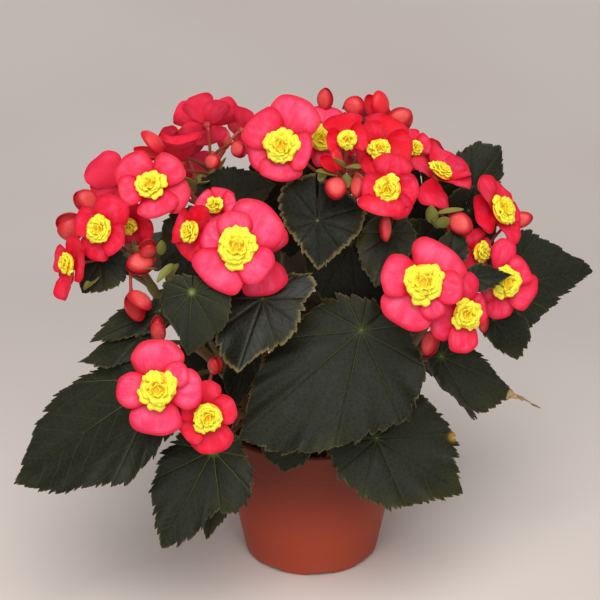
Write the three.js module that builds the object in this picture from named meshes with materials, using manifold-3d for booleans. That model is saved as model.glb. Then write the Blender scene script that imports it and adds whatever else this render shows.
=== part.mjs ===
// Potted begonia: a plastic pot of soil with leafy stems, sprays of double blooms and broad toothed leaves.
// Millimetres, +Z up, the origin at the centre of the pot's underside. The front of the plant faces -Y.
import * as THREE from "three";
import { mergeVertices } from "three/addons/utils/BufferGeometryUtils.js";
import Module from "manifold-3d";

const wasm = await Module();
wasm.setup();

// ---- Driving dimensions ----
const POT_HEIGHT = 100;
const POT_TOP_RADIUS = 65;
const POT_FOOT_RADIUS = 43.5;
const POT_WALL = 2.2;
const POT_FLOOR = 6;
const POT_SIDES = 32;
const SOIL_SIDES = 16;
const BAND_BOTTOM = 78; // lower edge of the rim band
const BAND_STEP = 1.8; // how far the band stands out from the side
const FOOT_RECESS = 2.6; // height of the hollow under the pot, and of its channels
const FOOT_RING = 6; // width of the ring that the pot stands on
const PAD_RADIUS = 14; // the flat pad in the middle of the underside
const CHANNELS = 8;
const CHANNEL_WIDTH = 16;
const CHANNEL_TURN = 8; // degrees, so that one channel is just right of the front

const SOIL_TOP = 88;
const SOIL_MOUND = 2.5;
const HOLE_BOTTOM = 66; // stems stand in holes this far above the pot's underside
const GAP = 0.3; // air between neighbouring pieces

const STEM_RADIUS = 4;
const STEM_TIP_RADIUS = 2.6;
const STEM_SIDES = 6;
const STALK_RADIUS = 1.7;
const STALK_SIDES = 4;
const PEDICEL_RADIUS = 1.2;
const PEDICEL_SIDES = 4;
const BLADE = 0.8; // leaf thickness
const PETAL = 1.2; // petal thickness at its middle
const CORE_RADIUS = 4.5; // the knob behind each bloom that its petals grow from
const CORE_DEPTH = 4;
const FORK = 12; // length of the stub at a spray's foot that its stalks grow from
const FIRST_STALK = 2; // how far along the stub the first of them starts
const LAST_STALK = 11; // and the last

// ---- Colours ----
const finish = (color, roughness) => new THREE.MeshStandardMaterial({ color, roughness });
const POT_FINISH = finish(0x9c4630, 0.55);
const SOIL_FINISH = finish(0x2b1d14, 0.95);
const STEM_FINISH = finish(0x4a4a26, 0.6);
const LEAF_FINISH = finish(0x2c3526, 0.42);
const PETAL_FINISH = finish(0xe0304a, 0.5);
const CENTRE_FINISH = finish(0xf6c80a, 0.55);

// ---- Stems: points from the soil to the tip, where the spray starts ----
const STEMS = {
  stem_left: [[-26, -6], [-50, -16, 128], [-86, -26, 176], [-108, -26, 216]],
  stem_middle: [[-12, -24], [-26, -38, 128], [-40, -50, 178], [-46, -56, 218]],
  stem_top: [[4, 2], [6, -8, 140], [12, -18, 210], [18, -24, 258]],
  stem_right: [[28, -2], [54, -12, 128], [84, -22, 176], [100, -28, 212]],
  stem_near: [[18, -26], [34, -40, 120], [54, -52, 160], [72, -62, 196]],
  stem_upper: [[-18, 16], [-34, 22, 140], [-52, 28, 200], [-64, 32, 250]],
  stem_rear: [[14, 24], [22, 44, 140], [34, 62, 190], [38, 74, 232]],
  stem_rear_left: [[-6, 34], [-28, 52, 130], [-56, 68, 170], [-72, 78, 208]],
  stem_low: [[-28, -20], [-36, -32, 108], [-50, -66, 134], [-62, -92, 150]],
};

// ---- Leaves ----
// A blade is given by the hub where its veins meet, its tip, the way its upper face looks (azimuth and
// elevation in degrees) and its reach: how far the edge is from the hub, in millimetres, in 30 degree
// steps from -150 to 150 degrees round from the tip. stem and at say where its stalk leaves a stem.
const BIG_LEAVES = [
  { name: "leaf_far_left", hub: [-93, -85, 165], tip: [-188, -103, 107], face: [-112, 42],
    reach: [17, 20, 25, 36, 71, 113, 72, 41, 28, 23, 18], stem: "stem_left", at: 0.45, points: 29 },
  { name: "leaf_low_left", hub: [-61, -92, 121], tip: [-94, -124, 71], face: [-97, 36],
    reach: [15, 17, 23, 31, 46, 68, 37, 39, 28, 19, 18], stem: "stem_low", at: 0.45, points: 25 },
  { name: "leaf_front", hub: [30, -72, 194], tip: [-45, -110, 140], face: [-93, 38],
    reach: [20, 22, 27, 35, 57, 100, 79, 62, 53, 36, 25], stem: "stem_near", at: 0.55, points: 29 },
  { name: "leaf_low_right", hub: [40, -78, 122], tip: [95, -92, 92], face: [-82, 36],
    reach: [27, 32, 34, 41, 47, 65, 52, 42, 29, 19, 17], stem: "stem_near", at: 0.3, points: 25 },
  { name: "leaf_right", hub: [80, -58, 169], tip: [126, -61, 146], face: [-72, 36],
    reach: [8, 10, 13, 20, 44, 52, 25, 21, 14, 10, 8], stem: "stem_near", at: 0.7, points: 21 },
  { name: "leaf_far_right", hub: [118, -18, 197], tip: [187, 16, 198], face: [-62, 48],
    reach: [15, 24, 29, 32, 38, 74, 53, 36, 22, 14, 11], stem: "stem_right", at: 0.75, points: 25 },
  { name: "leaf_young", hub: [-72, -98, 232], tip: [-75, -117, 199], face: [-96, 30],
    reach: [12, 15, 18, 20, 22, 38, 29, 27, 23, 17, 12], stem: "stem_middle", at: 0.7, points: 25 },
  { name: "leaf_glossy", hub: [-30, -80, 219], tip: [-45, -113, 186], face: [-92, 46],
    reach: [12, 14, 20, 29, 38, 49, 31, 29, 25, 33, 25], stem: "stem_middle", at: 0.75, points: 25 },
  { name: "leaf_centre", hub: [3, -58, 261], tip: [3, -77, 238], face: [-95, 40],
    reach: [32, 28, 21, 18, 20, 30, 24, 25, 28, 28, 26], stem: "stem_top", at: 0.75, points: 25 },
];

// The smaller leaves are fused into their stem. Where no reach is given, it is the ordinary outline
// below as parts of the leaf's length.
const ORDINARY = [0.42, 0.5, 0.57, 0.62, 0.76, 1, 0.72, 0.57, 0.52, 0.47, 0.4];
const SMALL_LEAVES = [
  { hub: [-106, -62, 184], tip: [-147, -64, 170], face: [-115, 55], stem: "stem_left", at: 0.6,
    reach: [9, 9, 10, 12, 17, 43, 28, 15, 12, 11, 9] },
  { hub: [-94, -55, 199], tip: [-138, -62, 182], face: [-110, 52], stem: "stem_left", at: 0.7,
    reach: [9, 9, 10, 12, 27, 48, 21, 13, 12, 11, 9] },
  { hub: [-141, -35, 206], tip: [-145, -43, 181], face: [-125, 20], stem: "stem_left", at: 0.9,
    reach: [7, 7, 8, 12, 16, 27, 12, 9, 8, 8, 7] },
  { hub: [-60, -74, 86], tip: [-67, -91, 53], face: [-90, 30], stem: "stem_low", at: 0.62,
    reach: [9, 10, 12, 14, 19, 35, 20, 14, 12, 10, 9] },
  { hub: [-38, -68, 180], tip: [-51, -78, 138], face: [-120, 20], stem: "stem_middle", at: 0.5,
    reach: [9, 10, 12, 15, 27, 44, 19, 12, 10, 9, 9] },
  { hub: [113, -45, 188], tip: [129, -54, 165], face: [-75, 30], stem: "stem_right", at: 0.65,
    reach: [8, 9, 10, 12, 18, 30, 28, 22, 12, 9, 8] },
  { hub: [101, 12, 251], tip: [120, 24, 276], face: [-85, 22], stem: "stem_right", at: 0.95,
    reach: [8, 9, 11, 14, 23, 34, 31, 24, 13, 9, 8] },
  { hub: [97, -78, 232], tip: [121, -72, 232], face: [-70, 50], stem: "stem_right", at: 0.9,
    reach: [6, 7, 9, 11, 14, 25, 15, 11, 8, 7, 6] },
  { hub: [90, -70, 239], tip: [96, -57, 256], face: [-80, 35], stem: "stem_right", at: 0.85,
    reach: [7, 8, 9, 13, 17, 22, 15, 12, 9, 8, 7] },
  { hub: [48, -55, 252], tip: [38, -83, 229], face: [-85, 50], stem: "stem_top", at: 0.8,
    reach: [13, 14, 16, 22, 27, 38, 22, 18, 16, 14, 13] },
  { hub: [-52, -20, 258], tip: [-22, -8, 266], face: [-95, 62], stem: "stem_upper", at: 0.8,
    reach: [12, 14, 16, 18, 22, 33, 30, 28, 27, 25, 20] },
  { hub: [-14, -72, 126], tip: [-17, -86, 102], face: [-90, 30], stem: "stem_middle", at: 0.3,
    reach: [12, 14, 18, 22, 24, 28, 24, 20, 16, 13, 12] },
  { hub: [24, -34, 236], tip: [30, -52, 182], face: [-88, 26], stem: "stem_top", at: 0.6,
    reach: [22, 26, 30, 34, 42, 58, 40, 34, 30, 27, 22] },
  { hub: [-8, 6, 264], tip: [-15, -2, 208], face: [-98, 24], stem: "stem_top", at: 0.85 },
  { hub: [64, -40, 236], tip: [82, -52, 200], face: [-75, 32], stem: "stem_right", at: 0.7 },
  { hub: [-70, -30, 240], tip: [-84, -52, 206], face: [-105, 38], stem: "stem_left", at: 0.8 },
  { hub: [-100, 40, 205], tip: [-160, 62, 176], face: [150, 55], stem: "stem_rear_left", at: 0.8 },
  { hub: [-74, 100, 185], tip: [-112, 148, 142], face: [122, 40], stem: "stem_rear_left", at: 0.6 },
  { hub: [-20, 100, 178], tip: [-26, 148, 124], face: [96, 35], stem: "stem_rear_left", at: 0.35 },
  { hub: [46, 104, 182], tip: [72, 150, 132], face: [66, 38], stem: "stem_rear", at: 0.55 },
  { hub: [92, 60, 200], tip: [148, 84, 162], face: [38, 50], stem: "stem_rear", at: 0.65 },
  { hub: [-16, 76, 236], tip: [-30, 116, 216], face: [105, 55], stem: "stem_upper", at: 0.75 },
  { hub: [76, 50, 246], tip: [112, 72, 230], face: [50, 58], stem: "stem_rear", at: 0.85 },
  { hub: [-58, 14, 192], tip: [-104, 22, 178], face: [150, 60], stem: "stem_upper", at: 0.5 },
  { hub: [60, 30, 192], tip: [108, 44, 180], face: [30, 60], stem: "stem_rear", at: 0.5 },
  { hub: [4, 40, 228], tip: [10, 82, 214], face: [88, 62], stem: "stem_rear", at: 0.7 },
  { hub: [70, 0, 252], tip: [76, -10, 206], face: [-85, 25], stem: "stem_right", at: 0.85 },
  { hub: [-68, 2, 150], tip: [-58, -6, 104], face: [-95, 22], stem: "stem_left", at: 0.42,
    reach: [8, 12, 18, 23, 32, 46, 32, 23, 18, 12, 8] },
  { hub: [72, 14, 134], tip: [116, 30, 84], face: [14, 36], stem: "stem_right", at: 0.3 },
  { hub: [14, 76, 138], tip: [20, 112, 84], face: [86, 32], stem: "stem_rear", at: 0.3 },
  { hub: [-52, 62, 130], tip: [-88, 92, 82], face: [140, 34], stem: "stem_rear_left", at: 0.25 },
  { hub: [62, 62, 134], tip: [96, 90, 84], face: [40, 34], stem: "stem_rear", at: 0.25 },
  { hub: [-82, 36, 126], tip: [-120, 54, 82], face: [155, 34], stem: "stem_left", at: 0.38 },
  { hub: [-82, 10, 174], tip: [-130, 14, 150], face: [176, 50], stem: "stem_left", at: 0.35 },
  { hub: [80, 4, 182], tip: [124, 16, 168], face: [24, 55], stem: "stem_right", at: 0.4 },
];

const SMALL_POINTS = 15; // points of a small leaf's edge
const TOOTH = 0.045; // how far the teeth of an edge stand in and out, as part of its reach
const DROOP = 0.1; // how far the edge hangs below the hub's plane, as part of the leaf's length
const WAVE = 0.035; // height of the wave along the edge, as part of the leaf's length

// ---- Sprays ----
// A bloom is given by its middle, the way it faces (azimuth and elevation), and its petals: each one's
// direction round the bloom as seen from in front (0 right, 90 up), length, width and layer. centre is
// the radius of its yellow centre. A bud is given by its middle, the way it points and its length.
const FIVE = [[90, 21, 25, 0], [162, 20, 22, 1], [234, 21, 24, 0], [306, 19, 21, 1], [18, 20, 22, 2]];
const SPRAYS = {
  spray_left: {
    stem: "stem_left",
    blooms: [
      { name: "centre_left_top", at: [-99, -25, 269], face: [-97, 38], centre: 10,
        petals: [[140, 26, 27, 0], [45, 24, 22, 1], [-18, 25, 24, 0], [-65, 21, 26, 1], [200, 20, 20, 2]] },
      { name: "centre_left_middle", at: [-128, -40, 247], face: [-120, 24], centre: 9.5,
        petals: [[75, 22, 27, 0], [170, 20, 20, 1], [255, 20, 23, 0], [-20, 18, 22, 1]] },
      { name: "centre_left_low", at: [-148, -42, 225], face: [-142, 14], centre: 7.5,
        petals: [[90, 17, 22, 0], [10, 18, 20, 1], [180, 16, 18, 1], [245, 17, 18, 0], [290, 23, 18, 2]] },
      { name: "centre_left_hidden", at: [-112, -22, 243], face: [-112, 0], centre: 6,
        petals: [[90, 15, 18, 0], [180, 15, 16, 1], [270, 14, 18, 0], [0, 16, 17, 1]] },
      { at: [-121, 12, 255], face: [112, -8],
        petals: [[48, 25, 27, 0], [335, 19, 22, 1], [140, 17, 20, 1], [250, 15, 20, 0]] },
    ],
    buds: [
      { at: [-142, -2, 250], face: [-170, 40], length: 16, width: 14 },
      { at: [-151, -13, 237], face: [-165, 20], length: 19, width: 17 },
      { at: [-106, -42, 225], face: [-70, 35], length: 18, width: 14 },
      { at: [-107, -61, 206], face: [-100, -35], length: 18, width: 14 },
    ],
  },
  spray_middle: {
    stem: "stem_middle",
    blooms: [
      { name: "centre_middle_front", at: [-45, -88, 256], face: [-90, 28], centre: 13,
        petals: [[50, 31, 36, 1], [150, 23, 22, 0], [232, 28, 34, 1], [318, 25, 24, 2], [96, 22, 22, 2]] },
      { name: "centre_middle_side", at: [-70, -72, 259], face: [-130, 25], centre: 8,
        petals: [[100, 17, 22, 0], [180, 18, 22, 1], [260, 17, 24, 0], [0, 14, 18, 1]] },
      { name: "centre_middle_behind", at: [-58, -56, 269], face: [-110, 40], centre: 6,
        petals: [[80, 13, 16, 0], [165, 13, 15, 1], [20, 13, 15, 1], [270, 12, 14, 0]] },
      { at: [-34, -80, 248], face: [-78, 8], petals: [[286, 27, 29, 0], [42, 24, 17, 0], [180, 14, 18, 1]] },
    ],
    buds: [],
  },
  spray_top: {
    stem: "stem_top",
    blooms: [
      { name: "centre_top_left", at: [-18, -36, 300], face: [-98, 26], centre: 11.5,
        petals: [[140, 26, 28, 1], [72, 32, 32, 0], [205, 22, 22, 0], [272, 21, 28, 1], [350, 19, 24, 2]] },
      { name: "centre_top_middle", at: [6, -14, 296], face: [-90, 30], centre: 9,
        petals: [[200, 20, 18, 0], [78, 21, 26, 0], [135, 20, 18, 1], [290, 17, 20, 0], [20, 18, 20, 1]] },
      { name: "centre_top_red", at: [20, -44, 308], face: [-80, 20], centre: 7,
        petals: [[98, 16, 24, 0], [180, 12, 16, 1], [10, 13, 18, 1]] },
      { name: "centre_top_right", at: [40, -32, 296], face: [-78, 34], centre: 7.5,
        petals: [[60, 23, 28, 0], [115, 18, 20, 1], [185, 14, 18, 0], [250, 17, 20, 1], [0, 20, 22, 2]] },
      { name: "centre_top_low", at: [46, -64, 285], face: [-104, 14], centre: 9.5,
        petals: [[85, 21, 22, 0], [5, 19, 19, 2], [262, 17, 22, 0], [182, 14, 18, 1], [310, 21, 16, 1]] },
      { name: "centre_top_far", at: [62, -10, 288], face: [-62, 32], centre: 5.5,
        petals: [[90, 13, 16, 0], [170, 13, 14, 1], [270, 13, 16, 0], [10, 13, 14, 1]] },
    ],
    buds: [
      { at: [8, -2, 318], face: [0, 88], length: 14, width: 10 },
      { at: [26, -8, 316], face: [40, 70], length: 12, width: 13 },
      { at: [14, -62, 284], face: [-90, -50], length: 14, width: 13 },
      { at: [27, -60, 284], face: [-90, -55], length: 14, width: 9 },
      { at: [12, -56, 299], face: [-130, 10], length: 13, width: 12 },
      { at: [44, -68, 260], face: [-90, -80], length: 16, width: 7 },
      { at: [40, 4, 312], face: [150, 50], length: 16, width: 13 },
      { at: [54, 4, 304], face: [20, 20], length: 16, width: 11 },
    ],
  },
  spray_right: {
    stem: "stem_right",
    blooms: [
      { name: "centre_right_top", at: [76, -32, 279], face: [-62, 58], centre: 8.5,
        petals: [[120, 20, 20, 0], [50, 19, 22, 1], [-10, 22, 20, 0], [260, 18, 24, 1], [190, 15, 18, 2]] },
      { name: "centre_right_middle", at: [114, -28, 253], face: [-52, 34], centre: 10.5,
        petals: [[45, 21, 23, 0], [165, 20, 30, 0], [262, 22, 18, 1], [-25, 18, 16, 1], [105, 18, 20, 2]] },
      { name: "centre_right_inner", at: [101, -44, 234], face: [-45, 12], centre: 7,
        petals: [[90, 14, 18, 0], [200, 16, 20, 1], [270, 14, 16, 0], [0, 12, 14, 1]] },
      { name: "centre_right_low", at: [116, -58, 220], face: [-66, 20], centre: 11,
        petals: [[78, 27, 17, 0], [328, 23, 24, 1], [255, 23, 20, 0], [30, 18, 20, 2], [180, 17, 20, 1]] },
    ],
    buds: [
      { at: [90, -54, 260], face: [-60, -10], length: 17, width: 15 },
      { at: [130, -18, 244], face: [-10, 20], length: 15, width: 10 },
      { at: [106, -52, 190], face: [-80, -75], length: 14, width: 7 },
    ],
  },
  spray_near: {
    stem: "stem_near",
    blooms: [
      { name: "centre_near_left", at: [66, -98, 238], face: [-92, 26], centre: 13,
        petals: [[58, 26, 36, 0], [165, 26, 26, 1], [238, 30, 32, 0], [292, 23, 15, 1], [350, 24, 20, 2]] },
      { name: "centre_near_right", at: [91, -94, 216], face: [-74, 16], centre: 10,
        petals: [[178, 22, 32, 0], [98, 27, 22, 1], [8, 15, 20, 0], [258, 24, 19, 1]] },
    ],
    buds: [{ at: [72, -80, 189], face: [-120, -60], length: 16, width: 10 }],
  },
  spray_low: {
    stem: "stem_low",
    blooms: [
      { name: "centre_low_left", at: [-92, -120, 179], face: [-92, 22], centre: 12.5,
        petals: [[92, 29, 32, 0], [185, 25, 22, 1], [265, 29, 31, 0], [0, 27, 24, 1], [38, 22, 16, 2]] },
      { name: "centre_low_right", at: [-63, -118, 159], face: [-86, 20], centre: 10,
        petals: [[88, 22, 16, 0], [22, 18, 19, 1], [280, 23, 26, 0], [212, 19, 20, 1], [150, 17, 16, 2]] },
    ],
    buds: [
      { at: [-93, -92, 204], face: [-100, 80], length: 18, width: 9 },
      { at: [-59, -96, 182], face: [-60, 60], length: 13, width: 9 },
    ],
  },
  spray_upper: {
    stem: "stem_upper",
    blooms: [
      { at: [-67, 40, 287], face: [104, 2],
        petals: [[75, 22, 28, 0], [165, 22, 24, 1], [8, 22, 22, 1], [268, 17, 22, 0]] },
      { at: [-82, 12, 281], face: [-100, -30], petals: [[95, 19, 30, 5], [275, 18, 28, 5]] },
      { at: [-44, 48, 278], face: [50, 8], petals: [[90, 18, 20, 0], [270, 17, 20, 0], [0, 15, 16, 1]] },
    ],
    buds: [
      { at: [-101, 6, 283], face: [165, 20], length: 19, width: 16 },
      { at: [-62, 6, 273], face: [-90, -70], length: 10, width: 10 },
      { at: [-46, 14, 278], face: [-60, -20], length: 12, width: 10 },
    ],
  },
  spray_rear: {
    stem: "stem_rear",
    blooms: [
      { name: "centre_rear_top", at: [36, 84, 276], face: [84, 40], centre: 10, petals: FIVE },
      { name: "centre_rear_right", at: [76, 88, 250], face: [56, 26], centre: 9.5, petals: FIVE },
      { name: "centre_rear_low", at: [30, 110, 236], face: [92, 14], centre: 10, petals: FIVE },
    ],
    buds: [
      { at: [60, 70, 276], face: [60, 60], length: 15, width: 11 },
      { at: [54, 108, 226], face: [70, -40], length: 14, width: 10 },
    ],
  },
  spray_rear_left: {
    stem: "stem_rear_left",
    blooms: [
      { name: "centre_rear_left_top", at: [-84, 92, 252], face: [122, 36], centre: 10, petals: FIVE },
      { name: "centre_rear_left_side", at: [-116, 72, 232], face: [152, 24], centre: 9.5, petals: FIVE },
      { name: "centre_rear_left_low", at: [-78, 118, 216], face: [110, 12], centre: 10, petals: FIVE },
    ],
    buds: [
      { at: [-58, 96, 252], face: [90, 60], length: 14, width: 10 },
      { at: [-104, 104, 214], face: [140, -30], length: 14, width: 10 },
    ],
  },
};

// ---- Places ----
const degrees = THREE.MathUtils.degToRad;
const vec = (p) => new THREE.Vector3(...p);

// The unit vector that points the way given by an azimuth and an elevation in degrees.
function facing([azimuth, elevation]) {
  const a = degrees(azimuth);
  const e = degrees(elevation);
  return new THREE.Vector3(Math.cos(e) * Math.cos(a), Math.cos(e) * Math.sin(a), Math.sin(e));
}

// Right, up and outward for something seen from in front.
function frameOf(out) {
  const pole = Math.abs(out.z) > 0.98 ? new THREE.Vector3(0, 1, 0) : new THREE.Vector3(0, 0, 1);
  const up = pole.addScaledVector(out, -pole.dot(out)).normalize();
  const right = new THREE.Vector3().crossVectors(up, out);
  return { right, up, out };
}

const place = (origin, { right, up, out }, x, y, z) =>
  origin.clone().addScaledVector(right, x).addScaledVector(up, y).addScaledVector(out, z);

// ---- Solids ----
function meshGeometry(points, faces) {
  const positions = new Float32Array(points.flatMap((p) => [p.x, p.y, p.z]));
  const geometry = new THREE.BufferGeometry();
  geometry.setAttribute("position", new THREE.BufferAttribute(positions, 3));
  return geometry.setIndex(faces);
}

function solid(geometry) {
  const bare = geometry.clone();
  bare.deleteAttribute("normal");
  bare.deleteAttribute("uv");
  const merged = mergeVertices(bare, 1e-4);
  const vertProperties = merged.attributes.position.array;
  const make = (triVerts) => new wasm.Manifold(new wasm.Mesh({ numProp: 3, vertProperties, triVerts }));
  const triVerts = new Uint32Array(merged.index.array);
  const made = make(triVerts);
  return made.volume() > 0 ? made : make(triVerts.reverse());
}

function geometryOf(manifold) {
  const { vertProperties, numProp, triVerts } = manifold.getMesh();
  const geometry = new THREE.BufferGeometry();
  geometry.setAttribute("position", new THREE.BufferAttribute(new Float32Array(vertProperties), numProp));
  geometry.setIndex(new THREE.BufferAttribute(new Uint32Array(triVerts), 1));
  const faceted = geometry.toNonIndexed();
  faceted.computeVertexNormals();
  return faceted;
}

const fuse = (pieces) => pieces.reduce((all, piece) => all.add(piece));

// Rings of points round a path. side is the way to each ring's first point, kept from twisting.
function ringsAlong(points, radii, sides, side) {
  const rings = [];
  points.forEach((p, i) => {
    const before = points[Math.max(i - 1, 0)];
    const after = points[Math.min(i + 1, points.length - 1)];
    const along = after.clone().sub(before).normalize();
    side = side.clone().addScaledVector(along, -side.dot(along)).normalize();
    const other = new THREE.Vector3().crossVectors(along, side);
    for (let k = 0; k < sides; k++) {
      const turn = (2 * Math.PI * k) / sides;
      const a = radii[i] * Math.cos(turn);
      const b = radii[i] * Math.sin(turn);
      rings.push(p.clone().addScaledVector(side, a).addScaledVector(other, b));
    }
  });
  return rings;
}

// The faces between rings that start at the given point, and the face that closes the last ring.
function ringFaces(first, count, sides) {
  const faces = [];
  for (let i = 0; i + 1 < count; i++) {
    for (let k = 0; k < sides; k++) {
      const a = first + i * sides + k;
      const b = first + i * sides + ((k + 1) % sides);
      faces.push(a, b, b + sides, a, b + sides, a + sides);
    }
  }
  const last = first + (count - 1) * sides;
  for (let k = 1; k + 1 < sides; k++) faces.push(last, last + k, last + k + 1);
  return faces;
}

// A rod with closed ends through the points, with a radius at each of them.
function rod(points, radii, sides) {
  const rings = ringsAlong(points, radii, sides, new THREE.Vector3(0.31, 0.95, 0.05));
  const faces = ringFaces(0, points.length, sides);
  for (let k = 1; k + 1 < sides; k++) faces.push(0, k + 1, k);
  return solid(meshGeometry(rings, faces));
}

// Numbers that go evenly from one to the other.
function taper(from, to, count) {
  return Array.from({ length: count }, (_, i) => from + ((to - from) * i) / (count - 1));
}

// ---- Leaf ----
const REACH_STEP = 30; // degrees between two numbers of a reach
const REACH_FROM = 150; // degrees from the tip round to the first of them
const EDGE_FROM = 166; // degrees from the tip round to the notch where the stalk comes in
const NOTCH = 0.04; // how far the notch's bottom is behind the hub, as part of the leaf's length
const MIDDLE_RING = 0.58; // how far out a big blade's middle ring is, as part of its reach
const STALK_TOP = 0.85; // a leaf stalk's radius at its top, as part of the radius at its foot

// The edge's distance from the hub in any direction: straight from one point of the reach to the next.
function edgeReach(reach, angle) {
  const furthest = reach.length - 1.001;
  const place = THREE.MathUtils.clamp((angle + REACH_FROM) / REACH_STEP, 0, furthest);
  const i = Math.floor(place);
  const here = degrees((place - i) * REACH_STEP);
  const whole = degrees(REACH_STEP);
  const a = reach[i];
  const b = reach[i + 1];
  return (a * b * Math.sin(whole)) / (a * Math.sin(here) + b * Math.sin(whole - here));
}

// A toothed blade of even thickness that droops towards its edge and waves along it, with the same
// triangles on both faces. A big blade has a middle ring of points between its hub and its edge, and a
// small one has its stalk, out of the stem at the point from.
function leafBlade({ hub, tip, face, reach, points }, turn, from) {
  const origin = vec(hub);
  const along = vec(tip).sub(origin);
  const length = along.length();
  along.normalize();
  const out = facing(face);
  out.addScaledVector(along, -out.dot(along)).normalize();
  const across = new THREE.Vector3().crossVectors(out, along);
  const outline = reach ?? ORDINARY.map((part) => part * length);
  const frame = { right: along, up: across, out };
  const at = (angle, distance) => {
    const t = degrees(angle);
    const share = distance / length;
    const sag = -DROOP * length * share * share;
    const wave = WAVE * length * share * Math.sin(3 * t + turn);
    return place(origin, frame, distance * Math.cos(t), distance * Math.sin(t), sag + wave);
  };
  const last = (points ?? SMALL_POINTS) - 1;
  const edge = [];
  for (let i = 0; i <= last; i++) {
    const angle = EDGE_FROM * ((2 * i) / last - 1);
    const tooth = i === last / 2 ? 1 : 1 + (i % 2 ? TOOTH : -TOOTH);
    edge.push([angle, edgeReach(outline, angle) * tooth]);
  }
  const every2nd = points ? edge.filter((_, i) => i % 2 === 0) : [];
  const middle = every2nd.map(([angle, far]) => [angle, far * MIDDLE_RING]);
  const spots = [[0, 0], [180, length * NOTCH], ...middle, ...edge].map((spot) => at(...spot));
  const M = 2; // first point of the middle ring
  const E = M + middle.length; // first point of the edge
  const upper = [];
  if (points) {
    upper.push(0, E - 1, 1, 0, 1, M, E - 1, E + last, 1, M, 1, E);
    for (let m = M; m + 1 < E; m++) {
      const e = E + 2 * (m - M);
      upper.push(0, m, m + 1, m, e, e + 1, m, e + 1, m + 1, m + 1, e + 1, e + 2);
    }
  } else {
    upper.push(0, E + last, 1, 0, 1, E);
    for (let e = E; e < E + last; e++) upper.push(0, e, e + 1);
  }
  const half = BLADE / 2;
  const count = spots.length;
  const skin = [
    ...spots.map((p) => p.clone().addScaledVector(out, half)),
    ...spots.map((p) => p.clone().addScaledVector(out, -half)),
  ];
  const faces = [...upper];
  const ring = [...edge.map((_, i) => E + i), 1];
  ring.forEach((a, i) => {
    const b = ring[(i + 1) % ring.length];
    faces.push(a, a + count, b + count, a, b + count, b);
  });
  if (!from) {
    for (let i = 0; i < upper.length; i += 3) {
      faces.push(upper[i] + count, upper[i + 2] + count, upper[i + 1] + count);
    }
    return { body: solid(meshGeometry(skin, faces)), origin, out };
  }
  // The stalk's first ring is let into the underside, round the hub.
  const path = stalkPath(origin.clone().addScaledVector(out, -half), out, from);
  const first = skin.length;
  const rings = ringsAlong(path, stalkRadii(path), STALK_SIDES, along);
  const quarter = (angle) => Math.round((angle * STALK_SIDES) / 360);
  const corner = (angle) => first + ((STALK_SIDES - quarter(angle)) % STALK_SIDES);
  const angles = [...edge.map(([angle]) => (angle + 360) % 360), 180];
  ring.forEach((a, i) => {
    const next = (i + 1) % ring.length;
    const here = corner(angles[i]);
    const there = corner(angles[next]);
    faces.push(here, ring[next] + count, a + count);
    if (here !== there) faces.push(here, there, ring[next] + count);
  });
  faces.push(...ringFaces(first, path.length, STALK_SIDES));
  const used = [...skin, ...rings];
  used[count] = origin.clone().addScaledVector(out, -half);
  return { body: solid(meshGeometry(used, faces)), origin, out };
}

const stalkRadii = (path) => taper(STALK_RADIUS * STALK_TOP, STALK_RADIUS, path.length);

// The middle line of a leaf stalk: from under the hub down to the stem, in an arch.
function stalkPath(top, out, from) {
  const reach = from.distanceTo(top);
  const under = top.clone().addScaledVector(out, -0.25 * reach);
  const bend = from.clone().lerp(top, 0.35);
  bend.z += 0.1 * reach;
  return new THREE.CubicBezierCurve3(top, under, bend, from).getPoints(3);
}

function stalk(leaf, from) {
  const top = leaf.origin.clone().addScaledVector(leaf.out, -(BLADE / 2 + 2.5 * GAP));
  const path = stalkPath(top, leaf.out, from);
  return rod(path, stalkRadii(path), STALK_SIDES);
}

// ---- Blooms ----
const PETAL_RIM = 7; // points of a petal's rim
const PETAL_CREST = 0.55; // where the petal is thickest, along its middle line
const PETAL_ROOT = 2; // a petal starts this far from the bloom's axis, and this far behind its middle
const PETAL_LIFT = 11; // degrees that a petal of the lowest layer rises
const LAYER_LIFT = 6; // further degrees for each layer
const LAYER_GAP = 1.3; // millimetres that each layer stands above the one below
const LAYER_CUP = 0.04; // how far each layer's petals are cupped at their sides, as part of their width
const PETAL_BEND = 0.16; // how far a petal's end bends back, as part of its length
const RIM_FOOT = 0.6; // width of the rim's outline at the petal's foot, against its end
const RIM_BROADEST = 0.82; // the outline's factor where the petal is broadest

// A rounded petal with a sharp rim, thickest in the middle, cupped at its sides.
function petal(origin, frame, [angle, length, width, layer]) {
  const t = degrees(angle);
  const lift = Math.tan(degrees(PETAL_LIFT + LAYER_LIFT * layer));
  const at = (a, b, thick) => {
    const distance = PETAL_ROOT + (length - PETAL_ROOT) * a;
    const aside = (width / 2) * b;
    const cup = LAYER_CUP * width * layer * b * b;
    const raised = LAYER_GAP * layer * Math.min(1, 2.5 * a);
    const height = lift * distance - PETAL_BEND * length * a ** 3 + cup + raised - PETAL_ROOT;
    const x = distance * Math.cos(t) - aside * Math.sin(t);
    const y = distance * Math.sin(t) + aside * Math.cos(t);
    return place(origin, frame, x, y, height + thick);
  };
  const rim = [];
  for (let i = 0; i < PETAL_RIM; i++) {
    const turn = (2 * Math.PI * i) / PETAL_RIM;
    const a = 0.5 - 0.5 * Math.cos(turn);
    const outline = (RIM_FOOT + (1 - RIM_FOOT) * a) / RIM_BROADEST;
    rim.push(at(a, Math.sin(turn) * outline, 0));
  }
  const points = [...rim, at(PETAL_CREST, 0, PETAL / 2), at(PETAL_CREST, 0, -PETAL / 2)];
  const faces = [];
  for (let i = 0; i < PETAL_RIM; i++) {
    const next = (i + 1) % PETAL_RIM;
    faces.push(PETAL_RIM, next, i, PETAL_RIM + 1, i, next);
  }
  return solid(meshGeometry(points, faces));
}

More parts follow.
